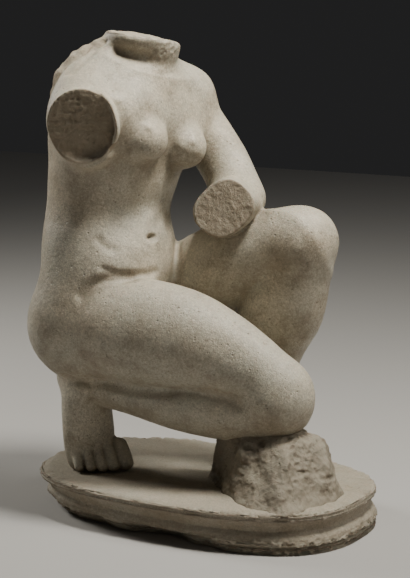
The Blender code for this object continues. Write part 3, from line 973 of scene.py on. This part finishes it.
@dataclass
class HewnRock:
    """The rough rock under the right shin and knee, seen from its middle in every direction."""

    centre: Place = (132, -28, 22)
    faces: tuple[tuple[Place, Place], ...] = (
        ((52, -50, 0), (-0.65, -0.76, 0.12)),
        ((170, -128, 0), (-0.12, -0.85, 0.50)),
        ((216, -120, 1), (0.81, -0.34, 0.47)),
        ((241, -20, 20), (0.98, 0.0, 0.20)),
        ((216, 0, 70), (0.64, 0.05, 0.76)),
        ((195, -20, 104), (0.11, -0.45, 0.89)),
        ((100, 10, 88), (0.0, 0.6, 0.8)),
        ((100, 66, 0), (0.0, 1.0, 0.2)),
        ((28, 0, 59), (-1.0, -0.05, 0.08)),
        ((234, 0, 30), (0.80, 0.55, 0.22)),
    )
    bed: float = 7.0
    around: int = 380
    upward: int = 200
    farthest: float = 190.0
    halvings: int = 13

    def form(self, p: Array) -> Array:
        """The hewn block: the largest height over its faces, rounded where they meet, with lumps and pits.

        Args:
            p: Points, as rows.

        Returns:
            One value for each point, negative inside.
        """
        x, y, z = p.T
        form = -FAR * np.ones(len(p))
        for place, faces in self.faces:
            form = -melt(-form, -((p - np.array(place)) @ unit(faces)), 9)
        waves = np.sin(x / 9.5 + y / 21) * np.sin(y / 10.5 - z / 30) * np.sin(z / 12 + x / 25 + 1)
        lumps = 3.0 * Unevenness(23, 21).at(p) + 2.2 * np.abs(Unevenness(11, 22).at(p))
        lumps += 0.8 * Unevenness(5, 23).at(p)
        pits = 2.5 * between(0.45, 0.8, Unevenness(15, 24).at(p))
        pits += between(0.5, 0.8, Unevenness(7, 25).at(p))
        spread = 6 * np.exp(-np.maximum(z, 0) / 13)
        return form + 3.2 * waves + lumps + pits - spread

    def build(self, finish: "MarbleFinish") -> None:
        """Casts rays from the middle, halves each ray's bracket down to the form, and closes the poles.

        Args:
            finish: The marble.
        """
        coarseness = 1
        around, upward = self.around // coarseness, self.upward // coarseness
        bearing = np.arange(around) * 2 * np.pi / around
        rise = np.linspace(-np.pi / 2, np.pi / 2, upward + 2)[1:-1]
        rise, bearing = np.meshgrid(rise, bearing, indexing="ij")
        level = np.cos(rise)
        rays = np.stack([level * np.cos(bearing), level * np.sin(bearing), np.sin(rise)], -1)
        rays = np.vstack([rays.reshape(-1, 3), (0, 0, -1), (0, 0, 1)])
        to_bed = (self.centre[2] + self.bed) / np.maximum(-rays[:, 2], 1e-6)
        low = np.zeros(len(rays))
        high = np.minimum(np.where(rays[:, 2] < 0, to_bed, self.farthest), self.farthest)
        for _ in range(self.halvings):
            middle = (low + high) / 2
            outside = self.form(np.array(self.centre) + rays * middle[:, None]) > 0
            low, high = np.where(outside, low, middle), np.where(outside, middle, high)
        p = np.array(self.centre) + rays * ((low + high) / 2)[:, None]
        faces = closed_grid(upward, around)
        rock = make_object("venus_rock", (p + (0, 0, PLINTH_STEPS)) * STEP, *faces)
        _, n = points_and_normals(rock.data)
        store_mask(rock.data, Mask.CREASE, np.clip(1.15 - self.form(p + 3 * n) / 3, 0, 1))
        # Painted shade: darker where other faces of the rock lie within 14 steps outside.
        store_mask(rock.data, Mask.PAINTED_SHADE, np.clip(1.0 - self.form(p + 14 * n) / 14, 0, 1))
        store_mask(rock.data, Mask.RAISED, np.clip(0.75 + self.form(p - 4 * n) / 4, 0, 1))
        store_mask(rock.data, Mask.BROKEN, np.ones(len(p)))
        # Painted light and shade by the direction each point faces.
        store_mask(rock.data, Mask.PAINTED_OVERHEAD_LIGHT, painted_overhead_light(n))
        dress(rock, "venus_rock", finish)


@dataclass
class MouldedPlinth:
    """The oval plinth: a moulding's profile carried round a rounded oval, worn along its edges."""

    squareness: float = 2.6
    top_band: float = 10.0
    band_inset: float = 3.0
    fillet: float = 7.0
    fillet_step: float = 0.8
    scotia: float = 14.0
    scotia_depth: float = 10.0
    flare: float = 22.0
    foot_inset: float = 4.0
    groove: float = 2.5
    edge_round: float = 7.0
    worn_depth: float = 32.0
    worn_towards: float = 235.0
    bites: tuple[Place, ...] = (
        (273.0, 7.0, 26.0),
        (251.0, 6.0, 10.0),
        (286.0, 4.0, 8.0),
        (215.0, 8.0, 9.0),
    )
    around: int = 760
    inward_rings: int = 22
    side_rings: int = 84

    @cached_property
    def half_sizes(self) -> Array:
        """Half the length and width over the widest moulding, in steps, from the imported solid's box."""
        low, high = CAD_BOX
        return np.array([high[0], max(high[1], -low[1])]) / STEP

    def profile(self) -> Array:
        """The side from top edge to underside, as rows of inset, height and how proud the edge stands.

        Returns:
            Evenly spaced rows along the profile.
        """
        top, inset, groove = PLINTH_STEPS, self.band_inset, self.groove
        band, turn = top - self.top_band, np.linspace(0, np.pi / 2, 7)
        fillet = band - self.fillet
        scotia = fillet - self.scotia
        flare = scotia - self.flare
        edge_inset = inset + self.edge_round * (1 - np.sin(turn))
        edge_height = top - self.edge_round * (1 - np.cos(turn))
        edge = np.column_stack([edge_inset, edge_height, 0.4 + 0.6 * np.sin(2 * turn)])
        upper = [
            (inset, band + groove / 2, 0.5),
            (inset + groove, band, 0),
            (inset, band - groove / 2, 0.4),
            (inset, fillet + 1.5, 0.5),
            (inset + self.fillet_step, fillet, 1.0),
        ]
        hollow_inset = inset + self.fillet_step + (self.scotia_depth - self.fillet_step) * np.sin(turn)
        hollow_height = fillet - self.scotia * (1 - np.cos(turn))
        hollow = np.column_stack([hollow_inset, hollow_height, 0 * turn])[1:]
        swell_inset = (inset + self.scotia_depth) * (1 - np.sin(turn))
        swell_height = scotia - self.flare * turn / turn[-1]
        swell = np.column_stack([swell_inset, swell_height, 0.8 * np.sin(turn) ** 4])[1:]
        foot = self.foot_inset
        lower = [
            (groove + foot, flare - groove / 2, 0),
            (foot / 2, flare - groove, 0.6),
            (foot / 2, flare / 2, 0.2),
            (foot, 0.0, 1.0),
        ]
        rows = np.vstack([edge, upper, hollow, swell, lower])
        run = np.r_[0, np.cumsum(np.hypot(*np.diff(rows[:, :2], axis=0).T))]
        even = np.linspace(0, run[-1], self.side_rings)
        return np.column_stack([np.interp(even, run, rows[:, column]) for column in range(3)])

    def outline(self, inset: Array, height: Array, bearing: Array) -> tuple[Array, Array]:
        """Points of a superellipse pulled in by an inset, by wear at the lower left and by bites in the foot.

        Args:
            inset: How far inside the full outline.
            height: The height above the underside.
            bearing: The superellipse's parameter.

        Returns:
            The x and y coordinates.
        """
        towards = np.clip(np.cos(bearing - math.radians(self.worn_towards)), 0, 1) ** 1.5
        inset = inset + self.worn_depth * towards * (1 - height / PLINTH_STEPS) ** 2
        low_down = between(21, 12, height)
        for middle, spread, depth in self.bites:
            inset = inset + depth * low_down * np.exp(-(((np.degrees(bearing) - middle) / spread) ** 2))
        half_length, half_width = self.half_sizes[0] - inset, self.half_sizes[1] - inset
        c, s, power = np.cos(bearing), np.sin(bearing), 2 / self.squareness
        return half_length * np.sign(c) * np.abs(c) ** power, half_width * np.sign(s) * np.abs(s) ** power

    def build(self, finish: "MarbleFinish") -> None:
        """Lays top, side and underside on one grid, then chips and roughens the edges.

        Args:
            finish: The marble.
        """
        around = self.around // 1
        profile = self.profile()
        inward = np.linspace(0, 1, self.inward_rings + 1)[1:]
        bearing = (around - np.arange(around)) * 2 * np.pi / around
        inner = len(inward) - 1
        shares = np.r_[inward[:-1], np.ones(len(profile)), inward[-2::-1]]
        insets = np.r_[np.full(inner, profile[0, 0]), profile[:, 0], np.full(inner, profile[-1, 0])]
        heights = np.r_[np.full(inner, PLINTH_STEPS), profile[:, 1], np.zeros(inner)]
        proud = np.r_[0.3 * between(0.9, 1.0, inward[:-1]), profile[:, 2], np.zeros(inner)]
        grid_inset, grid_bearing = np.meshgrid(insets, bearing, indexing="ij")
        grid_height = np.broadcast_to(heights[:, None], grid_inset.shape)
        x, y = self.outline(grid_inset, grid_height, grid_bearing)
        p = np.stack([x * shares[:, None], y * shares[:, None], grid_height], -1).reshape(-1, 3)
        p = np.vstack([p, (0, 0, PLINTH_STEPS), (0, 0, 0)])
        plinth = make_object("venus_plinth", p * STEP, *closed_grid(len(insets), around))
        _, n = points_and_normals(plinth.data)
        proud = np.r_[np.repeat(proud, around), 0, 0]
        on_top = between(PLINTH_STEPS - 1.5, PLINTH_STEPS, p[:, 2])
        under = p[:, 2] < 0.01
        foot = between(14.0, 8.0, p[:, 2])
        chips = between(0.05, 0.75, Unevenness(19, 31).at(p)) * 3.2
        chips += between(0.0, 0.7, Unevenness(7, 32).at(p)) * 1.6
        chips += between(0.35, 0.8, Unevenness(34, 33).at(p)) * 3.5
        chips += np.abs(Unevenness(8, 37).at(p)) * 2.6 + np.abs(Unevenness(4.5, 38).at(p)) * 1.6
        rough = 0.35 * (1 + Unevenness(9, 34).at(p)) + 0.25 * (1 + Unevenness(4, 35).at(p))
        dip = proud * chips * (2.1 + 0.6 * foot + 0.3 * on_top) + rough * (1.3 + 0.9 * foot)
        dip += on_top * 0.7 * (1 + Unevenness(26, 36).at(p))
        dip[under] = 0
        moved = p - n * dip[:, None]
        moved[:, 2] = np.maximum(moved[:, 2], 0)
        store_points(plinth.data, moved * STEP)
        self.mask(plinth.data, p, profile, proud, chips, foot, around)
        dress(plinth, "venus_plinth", finish)

    def mask(
        self,
        mesh: bpy.types.Mesh,
        p: Array,
        profile: Array,
        proud: Array,
        chips: Array,
        foot: Array,
        around: int,
    ) -> None:
        """Stores the plinth's masks: dirt in the grooves and hollow, painted shade on the lower mouldings,
        lighter worn edges, rough chips and foot, and painted overhead light.

        Args:
            mesh: The plinth's mesh.
            p: Its points before the wear.
            profile: The moulding's rows.
            proud: How far each point stands proud of its neighbours.
            chips: The depth of the chips.
            foot: A mask of the rough foot.
            around: How many points go round.
        """
        inset, height = np.gradient(profile[:, 0]), np.gradient(profile[:, 1])
        slope = inset / np.maximum(np.hypot(inset, height), 1e-6)
        hollow = np.clip(np.gradient(-slope) * -6, 0, 1)
        rings = self.inward_rings - 1
        crease = np.zeros(len(p))
        crease[rings * around : (rings + len(profile)) * around] = np.repeat(hollow, around)
        # Painted shade on the lower mouldings, a band from 14 to 44 steps up under the fillet.
        painted_shade = between(44, 30, p[:, 2]) * between(14, 24, p[:, 2])
        store_mask(mesh, Mask.CREASE, crease)
        store_mask(mesh, Mask.PAINTED_SHADE, 0.6 * painted_shade)
        store_mask(mesh, Mask.RAISED, np.clip(proud, 0, 1))
        store_mask(mesh, Mask.BROKEN, np.clip(proud * chips / 3 + foot, 0, 1))
        # Painted light and shade by the direction each point faces.
        _, n = points_and_normals(mesh)
        store_mask(mesh, Mask.PAINTED_OVERHEAD_LIGHT, painted_overhead_light(n))


def painted_overhead_light(n: Array) -> Array:
    """Painted overhead light from each point's normal: 0 facing down, where shade is painted, and 1 facing
    up, where light is painted.
    """
    return between(-0.5, 0.8, n[:, 2])


def closed_grid(rings: int, around: int) -> tuple[Array, Array]:
    """Faces of a grid that closes round and at both poles.

    The grid's points come ring by ring, and the two poles stand last: first the one beside the first ring.

    Args:
        rings: How many rings there are.
        around: How many points each ring has.

    Returns:
        The triangles at the poles and the squares between the rings.
    """
    here = np.arange(around)
    after = (here + 1) % around
    first, last = rings * around, rings * around + 1
    end = (rings - 1) * around
    first_tip = np.column_stack([np.full(around, first), after, here])
    last_tip = np.column_stack([np.full(around, last), end + here, end + after])
    ring = np.arange(rings - 1)[:, None] * around
    corners = [ring + here, ring + after, ring + around + after, ring + around + here]
    return np.vstack([first_tip, last_tip]), np.stack(corners, -1).reshape(-1, 4)


def make_object(name: str, points: Array, *faces: Array) -> bpy.types.Object:
    """A new object at the origin from arrays of points and faces.

    Args:
        name: The object's name.
        points: Places in metres, as rows.
        faces: Arrays of point numbers, one array for each count of corners.

    Returns:
        The object, linked to the scene.
    """
    mesh = bpy.data.meshes.new(name)
    sizes = np.concatenate([np.full(len(rows), rows.shape[1]) for rows in faces])
    corners = np.concatenate([rows.ravel() for rows in faces]).astype(np.int32)
    mesh.vertices.add(len(points))
    mesh.vertices.foreach_set("co", points.astype(np.float32).ravel())
    mesh.loops.add(len(corners))
    mesh.loops.foreach_set("vertex_index", corners)
    mesh.polygons.add(len(sizes))
    mesh.polygons.foreach_set("loop_start", (np.cumsum(sizes) - sizes).astype(np.int32))
    mesh.update(calc_edges=True)
    made = bpy.data.objects.new(name, mesh)
    bpy.context.scene.collection.objects.link(made)
    return made


def remesh(body: bpy.types.Object, voxel: float) -> None:
    """Replaces an object's mesh by one even skin of squares.

    Args:
        body: The object.
        voxel: The squares' size, in metres.
    """
    skin = body.modifiers.new("skin", "REMESH")
    skin.mode = "VOXEL"
    skin.voxel_size = voxel
    depsgraph = bpy.context.evaluated_depsgraph_get()
    mesh = bpy.data.meshes.new_from_object(body.evaluated_get(depsgraph), depsgraph=depsgraph)
    body.modifiers.clear()
    body.data = mesh


def points_and_normals(mesh: bpy.types.Mesh) -> tuple[Array, Array]:
    """A mesh's points and their normals, each as rows."""
    points = np.empty(3 * len(mesh.vertices), np.float32)
    normals = np.empty(3 * len(mesh.vertices), np.float32)
    mesh.vertices.foreach_get("co", points)
    mesh.vertex_normals.foreach_get("vector", normals)
    return points.reshape(-1, 3).astype(float), normals.reshape(-1, 3).astype(float)


def store_points(mesh: bpy.types.Mesh, points: Array) -> None:
    """Puts points, as rows in metres, back into a mesh."""
    mesh.vertices.foreach_set("co", points.astype(np.float32).ravel())
    mesh.update()


def store_mask(mesh: bpy.types.Mesh, mask: Mask, values: Array) -> None:
    """Stores one number from 0 to 1 on each point of a mesh."""
    layer = mesh.attributes.new(mask.value, "FLOAT", "POINT")
    layer.data.foreach_set("value", values.astype(np.float32))


def draw_onto(mesh: bpy.types.Mesh, form: Callable[[Array], Array], passes: int) -> None:
    """Draws a skin onto a form.

    Each pass slides the points towards the middle of their neighbours, along the surface, and then moves them
    along their normals by the form's value over its slope.

    Args:
        mesh: The skin.
        form: The form, a function of points in steps.
        passes: How many passes to make.
    """
    edges = np.empty(2 * len(mesh.edges), np.int32)
    mesh.edges.foreach_get("vertices", edges)
    edges = edges.reshape(-1, 2)
    both = np.concatenate([edges, edges[:, ::-1]])
    count = np.bincount(both[:, 0], minlength=len(mesh.vertices))[:, None]
    for _ in range(passes):
        p, n = points_and_normals(mesh)
        p = p / STEP
        total = np.column_stack([np.bincount(both[:, 0], p[both[:, 1], axis], len(p)) for axis in range(3)])
        drift = total / np.maximum(count, 1) - p
        p += 0.4 * (drift - n * (drift * n).sum(-1, keepdims=True))
        gap = form(p)
        slope = np.clip(form(p + n) - gap, 0.35, 1.5)
        p -= n * np.clip(gap / slope, -6, 6)[:, None]
        store_points(mesh, p * STEP)


@dataclass
class Graph:
    """A node tree with short ways to add and join nodes."""

    tree: bpy.types.NodeTree

    def add(self, kind: str, **inputs: Input | str | bool) -> bpy.types.Node:
        """Adds a node and sets or joins its inputs.

        Args:
            kind: The node's type, without its ShaderNode prefix.
            inputs: Values or output sockets, by input name with spaces as underscores, or node settings.

        Returns:
            The node.
        """
        node = self.tree.nodes.new("ShaderNode" + kind)
        for name, value in inputs.items():
            if hasattr(node, name):
                setattr(node, name, value)
            else:
                self.put(node.inputs[name.replace("_", " ")], value)
        return node

    def put(self, socket: Socket, value: Input) -> None:
        """Joins an output to a socket, or sets the socket's value."""
        if isinstance(value, Socket):
            self.tree.links.new(value, socket)
        else:
            socket.default_value = value

    def math(self, operation: str, a: Input, b: Input = 0.0, clamp: bool = False) -> Socket:
        """The result of one sum on two values or sockets."""
        node = self.add("Math", operation=operation, use_clamp=clamp)
        self.put(node.inputs[0], a)
        self.put(node.inputs[1], b)
        return node.outputs[0]

    def times(self, a: Input, b: Input, clamp: bool = False) -> Socket:
        """The product of two values or sockets."""
        return self.math("MULTIPLY", a, b, clamp)

    def ramp(self, value: Input, low: float, high: float, start: float = 0.0, end: float = 1.0) -> Socket:
        """A value carried from one range to another, held at its ends."""
        node = self.add("MapRange", From_Min=low, From_Max=high, To_Min=start, To_Max=end)
        self.put(node.inputs["Value"], value)
        return node.outputs[0]

    def mix(self, share: Input, a: Input, b: Input) -> Socket:
        """Two colours mixed by a share from 0 to 1."""
        node = self.add("Mix", data_type="RGBA")
        self.put(node.inputs[0], share)
        self.put(node.inputs[6], a)
        self.put(node.inputs[7], b)
        return node.outputs[2]

    def noise(self, place: Socket, scale: float, detail: float, roughness: float) -> Socket:
        """A cloud of values from 0 to 1."""
        node = self.add("TexNoise", Scale=scale, Detail=detail, Roughness=roughness, Vector=place)
        return node.outputs[0]

    def mask(self, mask: Mask) -> Socket:
        """The numbers that a mask left on the mesh."""
        return self.add("Attribute", attribute_name=mask.value).outputs["Fac"]


class Effect(Enum):
    """The effects that the marble's finishes share, each a node group."""

    MOTTLING = "stone_mottling"
    PITTING = "stone_pitting"
    GRAIN = "stone_grain"


def new_group(
    effect: Effect, inputs: dict[str, tuple[str, Input]], outputs: dict[str, str]
) -> tuple[Graph, dict[str, Socket]]:
    """An empty node group with named sockets.

    Args:
        effect: The effect that names the group.
        inputs: For each input its socket type and its default value.
        outputs: For each output its socket type.

    Returns:
        The group's graph, and its input sockets by name.
    """
    tree = bpy.data.node_groups.new(effect.value, "ShaderNodeTree")
    for name, (kind, value) in inputs.items():
        tree.interface.new_socket(name, in_out="INPUT", socket_type="NodeSocket" + kind).default_value = value
    for name, kind in outputs.items():
        tree.interface.new_socket(name, in_out="OUTPUT", socket_type="NodeSocket" + kind)
    graph = Graph(tree)
    entry = tree.nodes.new("NodeGroupInput")
    tree.nodes.new("NodeGroupOutput").name = "result"
    return graph, {name: entry.outputs[name] for name in inputs}


def mottling_group() -> None:
    """Broad clouds of warm and cool marble, brown stains and fine specks, mixed by noise of falling size."""
    graph, given = new_group(
        Effect.MOTTLING,
        {
            "Warm": ("Color", (0.6, 0.5, 0.4, 1)),
            "Cool": ("Color", (0.6, 0.6, 0.5, 1)),
            "Stain": ("Color", (0.3, 0.2, 0.1, 1)),
            "Staining": ("Float", 0.5),
        },
        {"Color": "Color", "Clouds": "Float"},
    )
    place = graph.add("TexCoord").outputs["Object"]
    broad = graph.noise(place, 5.5, 4, 0.6)
    blotch = graph.noise(place, 21.0, 6, 0.68)
    speck = graph.noise(place, 420.0, 2, 0.7)
    patch = graph.noise(place, 70.0, 5, 0.7)
    base = graph.mix(graph.ramp(broad, 0.36, 0.64), given["Cool"], given["Warm"])
    stain_and_shade = graph.times(graph.ramp(blotch, 0.47, 0.78), given["Staining"])
    base = graph.mix(stain_and_shade, base, given["Stain"])
    fine = graph.times(graph.ramp(patch, 0.52, 0.72), graph.times(given["Staining"], 0.45))
    base = graph.mix(fine, base, given["Stain"])
    fleck = graph.noise(place, 230.0, 3, 0.65)
    shade = graph.times(graph.ramp(speck, 0.32, 0.68, 0.8, 1.2), graph.ramp(fleck, 0.32, 0.68, 0.8, 1.18))
    dots = graph.add("HueSaturation", Value=shade, Color=base)
    graph.put(graph.tree.nodes["result"].inputs["Color"], dots.outputs[0])
    graph.put(graph.tree.nodes["result"].inputs["Clouds"], blotch)


def pitting_group() -> None:
    """Small round pits: the middle of scattered cells, thinned out by a cloud, in two sizes."""
    outputs = {"Pits": "Float", "Height": "Float"}
    graph, given = new_group(Effect.PITTING, {"Density": ("Float", 0.5)}, outputs)
    place = graph.add("TexCoord").outputs["Object"]
    pits = None
    for scale, size in ((95.0, 0.20), (210.0, 0.24)):
        cells = graph.add("TexVoronoi", Scale=scale, Vector=place)
        hole = graph.ramp(cells.outputs["Distance"], size, size * 0.45)
        keep = graph.ramp(graph.noise(place, scale * 0.28, 2, 0.6), 0.62, 0.52)
        keep = graph.math("SUBTRACT", 1.0, keep)
        hole = graph.times(hole, keep)
        pits = hole if pits is None else graph.math("MAXIMUM", pits, hole)
    pits = graph.times(pits, given["Density"], clamp=True)
    graph.put(graph.tree.nodes["result"].inputs["Pits"], pits)
    graph.put(graph.tree.nodes["result"].inputs["Height"], graph.times(pits, -1.0))


def grain_group() -> None:
    """The surface's tooth: crystalline grain, worn hand-tooling and soft unevenness summed as heights."""
    inputs = {"Tooth": ("Float", 0.5), "Ruggedness": ("Float", 0.0)}
    graph, given = new_group(Effect.GRAIN, inputs, {"Height": "Float"})
    place = graph.add("TexCoord").outputs["Object"]
    crystals = graph.times(graph.noise(place, 620.0, 3, 0.7), given["Tooth"])
    worn = graph.times(graph.noise(place, 165.0, 4, 0.6), graph.times(given["Tooth"], 1.5))
    rugged = graph.times(graph.noise(place, 90.0, 6, 0.72), graph.times(given["Ruggedness"], 4.0))
    height = graph.math("ADD", graph.math("ADD", crystals, worn), rugged)
    graph.put(graph.tree.nodes["result"].inputs["Height"], height)


@dataclass(frozen=True)
class MarbleFinish:
    """Old white marble with a warm grey patina, dirt in its creases and rough grey-brown breaks, with painted
    shade and light.
    """

    name: str
    warm: Place = (0.585, 0.51, 0.39, 1.0)
    cool: Place = (0.525, 0.498, 0.41, 1.0)
    # The stain colour is also the colour of the painted shade.
    stain_and_shade: Place = (0.20, 0.157, 0.103, 1.0)
    dirt: Place = (0.125, 0.088, 0.058, 1.0)
    # Lighter worn edges, and also the painted light on surfaces that face up.
    wear_and_top_light: Place = (0.73, 0.68, 0.56, 1.0)
    rough_colour: Place = (0.40, 0.325, 0.235, 1.0)
    staining: float = 0.7
    pitting: float = 0.4
    tooth: float = 0.55
    smooth_roughness: float = 0.42
    broken_roughness: float = 0.88

    def group(self, graph: Graph, effect: Effect, **inputs: Input) -> bpy.types.Node:
        """Places one shared effect in the material with this finish's values."""
        node = graph.tree.nodes.new("ShaderNodeGroup")
        node.node_tree = bpy.data.node_groups[effect.value]
        for name, value in inputs.items():
            graph.put(node.inputs[name], value)
        return node

    def material(self) -> bpy.types.Material:
        """Mixes the mottled stone with dirt, lighter worn edges, breaks, painted shade and painted overhead
        light by the carving's masks.

        Returns:
            The material.
        """
        material = bpy.data.materials.new(self.name)
        material.use_nodes = True
        graph = Graph(material.node_tree)
        shader = material.node_tree.nodes["Principled BSDF"]
        crease, painted_shade = graph.mask(Mask.CREASE), graph.mask(Mask.PAINTED_SHADE)
        raised, broken = graph.mask(Mask.RAISED), graph.mask(Mask.BROKEN)
        painted_overhead_light = graph.mask(Mask.PAINTED_OVERHEAD_LIGHT)
        stone = self.group(
            graph, Effect.MOTTLING, Warm=self.warm, Cool=self.cool, Stain=self.stain_and_shade, Staining=self.staining
        )
        pits = self.group(graph, Effect.PITTING, Density=self.pitting)
        rugged = graph.times(broken, 0.9)
        grain = self.group(graph, Effect.GRAIN, Tooth=self.tooth, Ruggedness=rugged)
        cloud = graph.ramp(stone.outputs["Clouds"], 0.3, 0.7, 0.45, 1.15)
        colour = graph.mix(graph.times(broken, 0.75), stone.outputs["Color"], self.rough_colour)
        # Painted shade: surfaces that face down are darkened towards the stain colour.
        painted_underside_shade = graph.times(graph.ramp(painted_overhead_light, 0.45, 0.0), cloud, clamp=True)
        colour = graph.mix(graph.times(painted_underside_shade, 0.55), colour, self.stain_and_shade)
        # Painted light: surfaces that face up are lightened.
        colour = graph.mix(graph.times(graph.ramp(painted_overhead_light, 0.55, 1.0), 0.35), colour, self.wear_and_top_light)
        # Painted shade where other parts of the form lie close outside, darkened towards the stain colour.
        painted_shade_share = graph.times(graph.ramp(painted_shade, 0.12, 0.85), cloud, clamp=True)
        colour = graph.mix(graph.times(painted_shade_share, 0.42), colour, self.stain_and_shade)
        dirty = graph.times(graph.ramp(crease, 0.18, 0.75), cloud, clamp=True)
        colour = graph.mix(graph.times(dirty, 0.75), colour, self.dirt)
        colour = graph.mix(graph.times(graph.ramp(raised, 0.35, 0.8), 0.5), colour, self.wear_and_top_light)
        colour = graph.mix(graph.times(pits.outputs["Pits"], 0.7), colour, self.dirt)
        graph.put(shader.inputs["Base Color"], colour)
        smooth = self.smooth_roughness
        polish = graph.ramp(stone.outputs["Clouds"], 0.35, 0.7, smooth - 0.06, smooth + 0.14)
        rough = graph.math("ADD", polish, graph.times(broken, self.broken_roughness - smooth))
        graph.put(shader.inputs["Roughness"], graph.math("MINIMUM", rough, 0.95))
        sunk = graph.times(pits.outputs["Height"], 2.4)
        height = graph.math("ADD", grain.outputs["Height"], sunk)
        bump = graph.add("Bump", Strength=0.8, Distance=0.0014, Height=height)
        graph.put(shader.inputs["Normal"], bump.outputs["Normal"])
        shader.inputs["Specular IOR Level"].default_value = 0.42
        shader.inputs["Subsurface Weight"].default_value = 0.05
        shader.inputs["Subsurface Scale"].default_value = 0.006
        return material


def dress(piece: bpy.types.Object, name: str, finish: MarbleFinish) -> None:
    """Names a piece, smooths it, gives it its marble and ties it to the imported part.

    Args:
        piece: The piece.
        name: Its name.
        finish: Its marble.
    """
    piece.name = name
    piece.data.name = name
    piece.data.shade_smooth()
    piece.data.materials.clear()
    piece.data.materials.append(finish.material())
    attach(piece, "root")
    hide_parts(SOLID)
    LOG.info("%s: %d points, %d faces", name, len(piece.data.vertices), len(piece.data.polygons))


@dataclass(frozen=True)
class SoftLight:
    """A large soft lamp that looks at the statue's middle."""

    name: str
    bearing: float
    elevation: float
    distance: float
    size: float
    power: float
    colour: Place = (1.0, 0.965, 0.885)

    def build(self, target: Vector) -> None:
        """Hangs the lamp at its bearing round the statue.

        Args:
            target: What the lamp looks at.
        """
        lamp = bpy.data.lights.new(self.name, "AREA")
        lamp.shape = "DISK"
        lamp.size = self.size
        lamp.energy = self.power
        lamp.color = self.colour
        hung = bpy.data.objects.new(self.name, lamp)
        a, e = math.radians(self.bearing), math.radians(self.elevation)
        away = Vector((math.sin(a) * math.cos(e), -math.cos(a) * math.cos(e), math.sin(e)))
        hung.location = target + away * self.distance
        hung.rotation_euler = (-away).to_track_quat("-Z", "Y").to_euler()
        bpy.context.scene.collection.objects.link(hung)


@dataclass(frozen=True)
class Studio:
    """The floor, the soft light and the camera at the photograph's angle."""

    camera_place: Place = (1.3945, -2.3769, 0.8598)
    camera_target: Place = (0.0, 0.0, 0.364)
    lens: float = 73.58
    sensor_height: float = 24.0
    floor_size: float = 9.0
    floor_colour: Place = (0.48, 0.47, 0.455, 1.0)
    world_colour: Place = (0.62, 0.62, 0.63, 1.0)
    world_strength: float = 0.03
    lights: tuple[SoftLight, ...] = (
        SoftLight("key", 92.0, 68.0, 1.9, 0.45, 46.0),
        SoftLight("right", 108.0, 36.0, 2.4, 0.6, 14.0),
        SoftLight("front", 12.0, 24.0, 3.2, 1.8, 0.8),
        SoftLight("side", -91.0, 26.0, 2.4, 0.7, 30.0),
    )

    def build(self) -> None:
        """Makes the floor, the world, the lamps and the camera."""
        half = self.floor_size / 2
        corners = np.array([(-half, -half, 0), (half, -half, 0), (half, half, 0), (-half, half, 0)])
        floor = make_object("studio_floor", corners - (0, 0, 0.0005), np.array([[0, 1, 2, 3]]))
        matt = bpy.data.materials.new("pale_floor")
        matt.use_nodes = True
        matt.node_tree.nodes["Principled BSDF"].inputs["Base Color"].default_value = self.floor_colour
        matt.node_tree.nodes["Principled BSDF"].inputs["Roughness"].default_value = 0.9
        floor.data.materials.append(matt)
        world = bpy.data.worlds.new("studio")
        world.use_nodes = True
        sky = world.node_tree.nodes["Background"]
        sky.inputs["Color"].default_value = self.world_colour
        sky.inputs["Strength"].default_value = self.world_strength
        bpy.context.scene.world = world
        for light in self.lights:
            light.build(Vector(self.camera_target))
        lens = bpy.data.cameras.new("photo_camera")
        lens.sensor_fit = "VERTICAL"
        lens.sensor_height = self.sensor_height
        lens.lens = self.lens
        camera = bpy.data.objects.new("photo_camera", lens)
        camera.location = self.camera_place
        towards = Vector(self.camera_target) - Vector(self.camera_place)
        camera.rotation_euler = towards.to_track_quat("-Z", "Y").to_euler()
        bpy.context.scene.collection.objects.link(camera)
        bpy.context.scene.camera = camera


def main() -> None:
    """Builds the pieces in order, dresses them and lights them."""
    logging.basicConfig(level=logging.INFO, format="%(name)s: %(message)s")
    mottling_group()
    pitting_group()
    grain_group()
    Studio().build()
    # The lighter colour serves both the worn edges and the painted light on up-facing surfaces.
    stained, worn_and_top_lit = (0.24, 0.205, 0.152, 1.0), (0.60, 0.545, 0.44, 1.0)
    dull, greyed = (0.395, 0.342, 0.262, 1.0), (0.36, 0.332, 0.27, 1.0)
    weathered = partial(MarbleFinish, warm=dull, cool=greyed, wear_and_top_light=worn_and_top_lit, rough_colour=stained)
    MouldedPlinth().build(weathered("plinth_marble", staining=0.6, tooth=0.9, smooth_roughness=0.68))
    HewnRock().build(weathered("rock_marble", staining=0.7, tooth=1.0, smooth_roughness=0.75))
    CarvedFigure().build(MarbleFinish("body_marble"))
    bpy.context.view_layer.update()


if __name__ == "__main__":
    main()
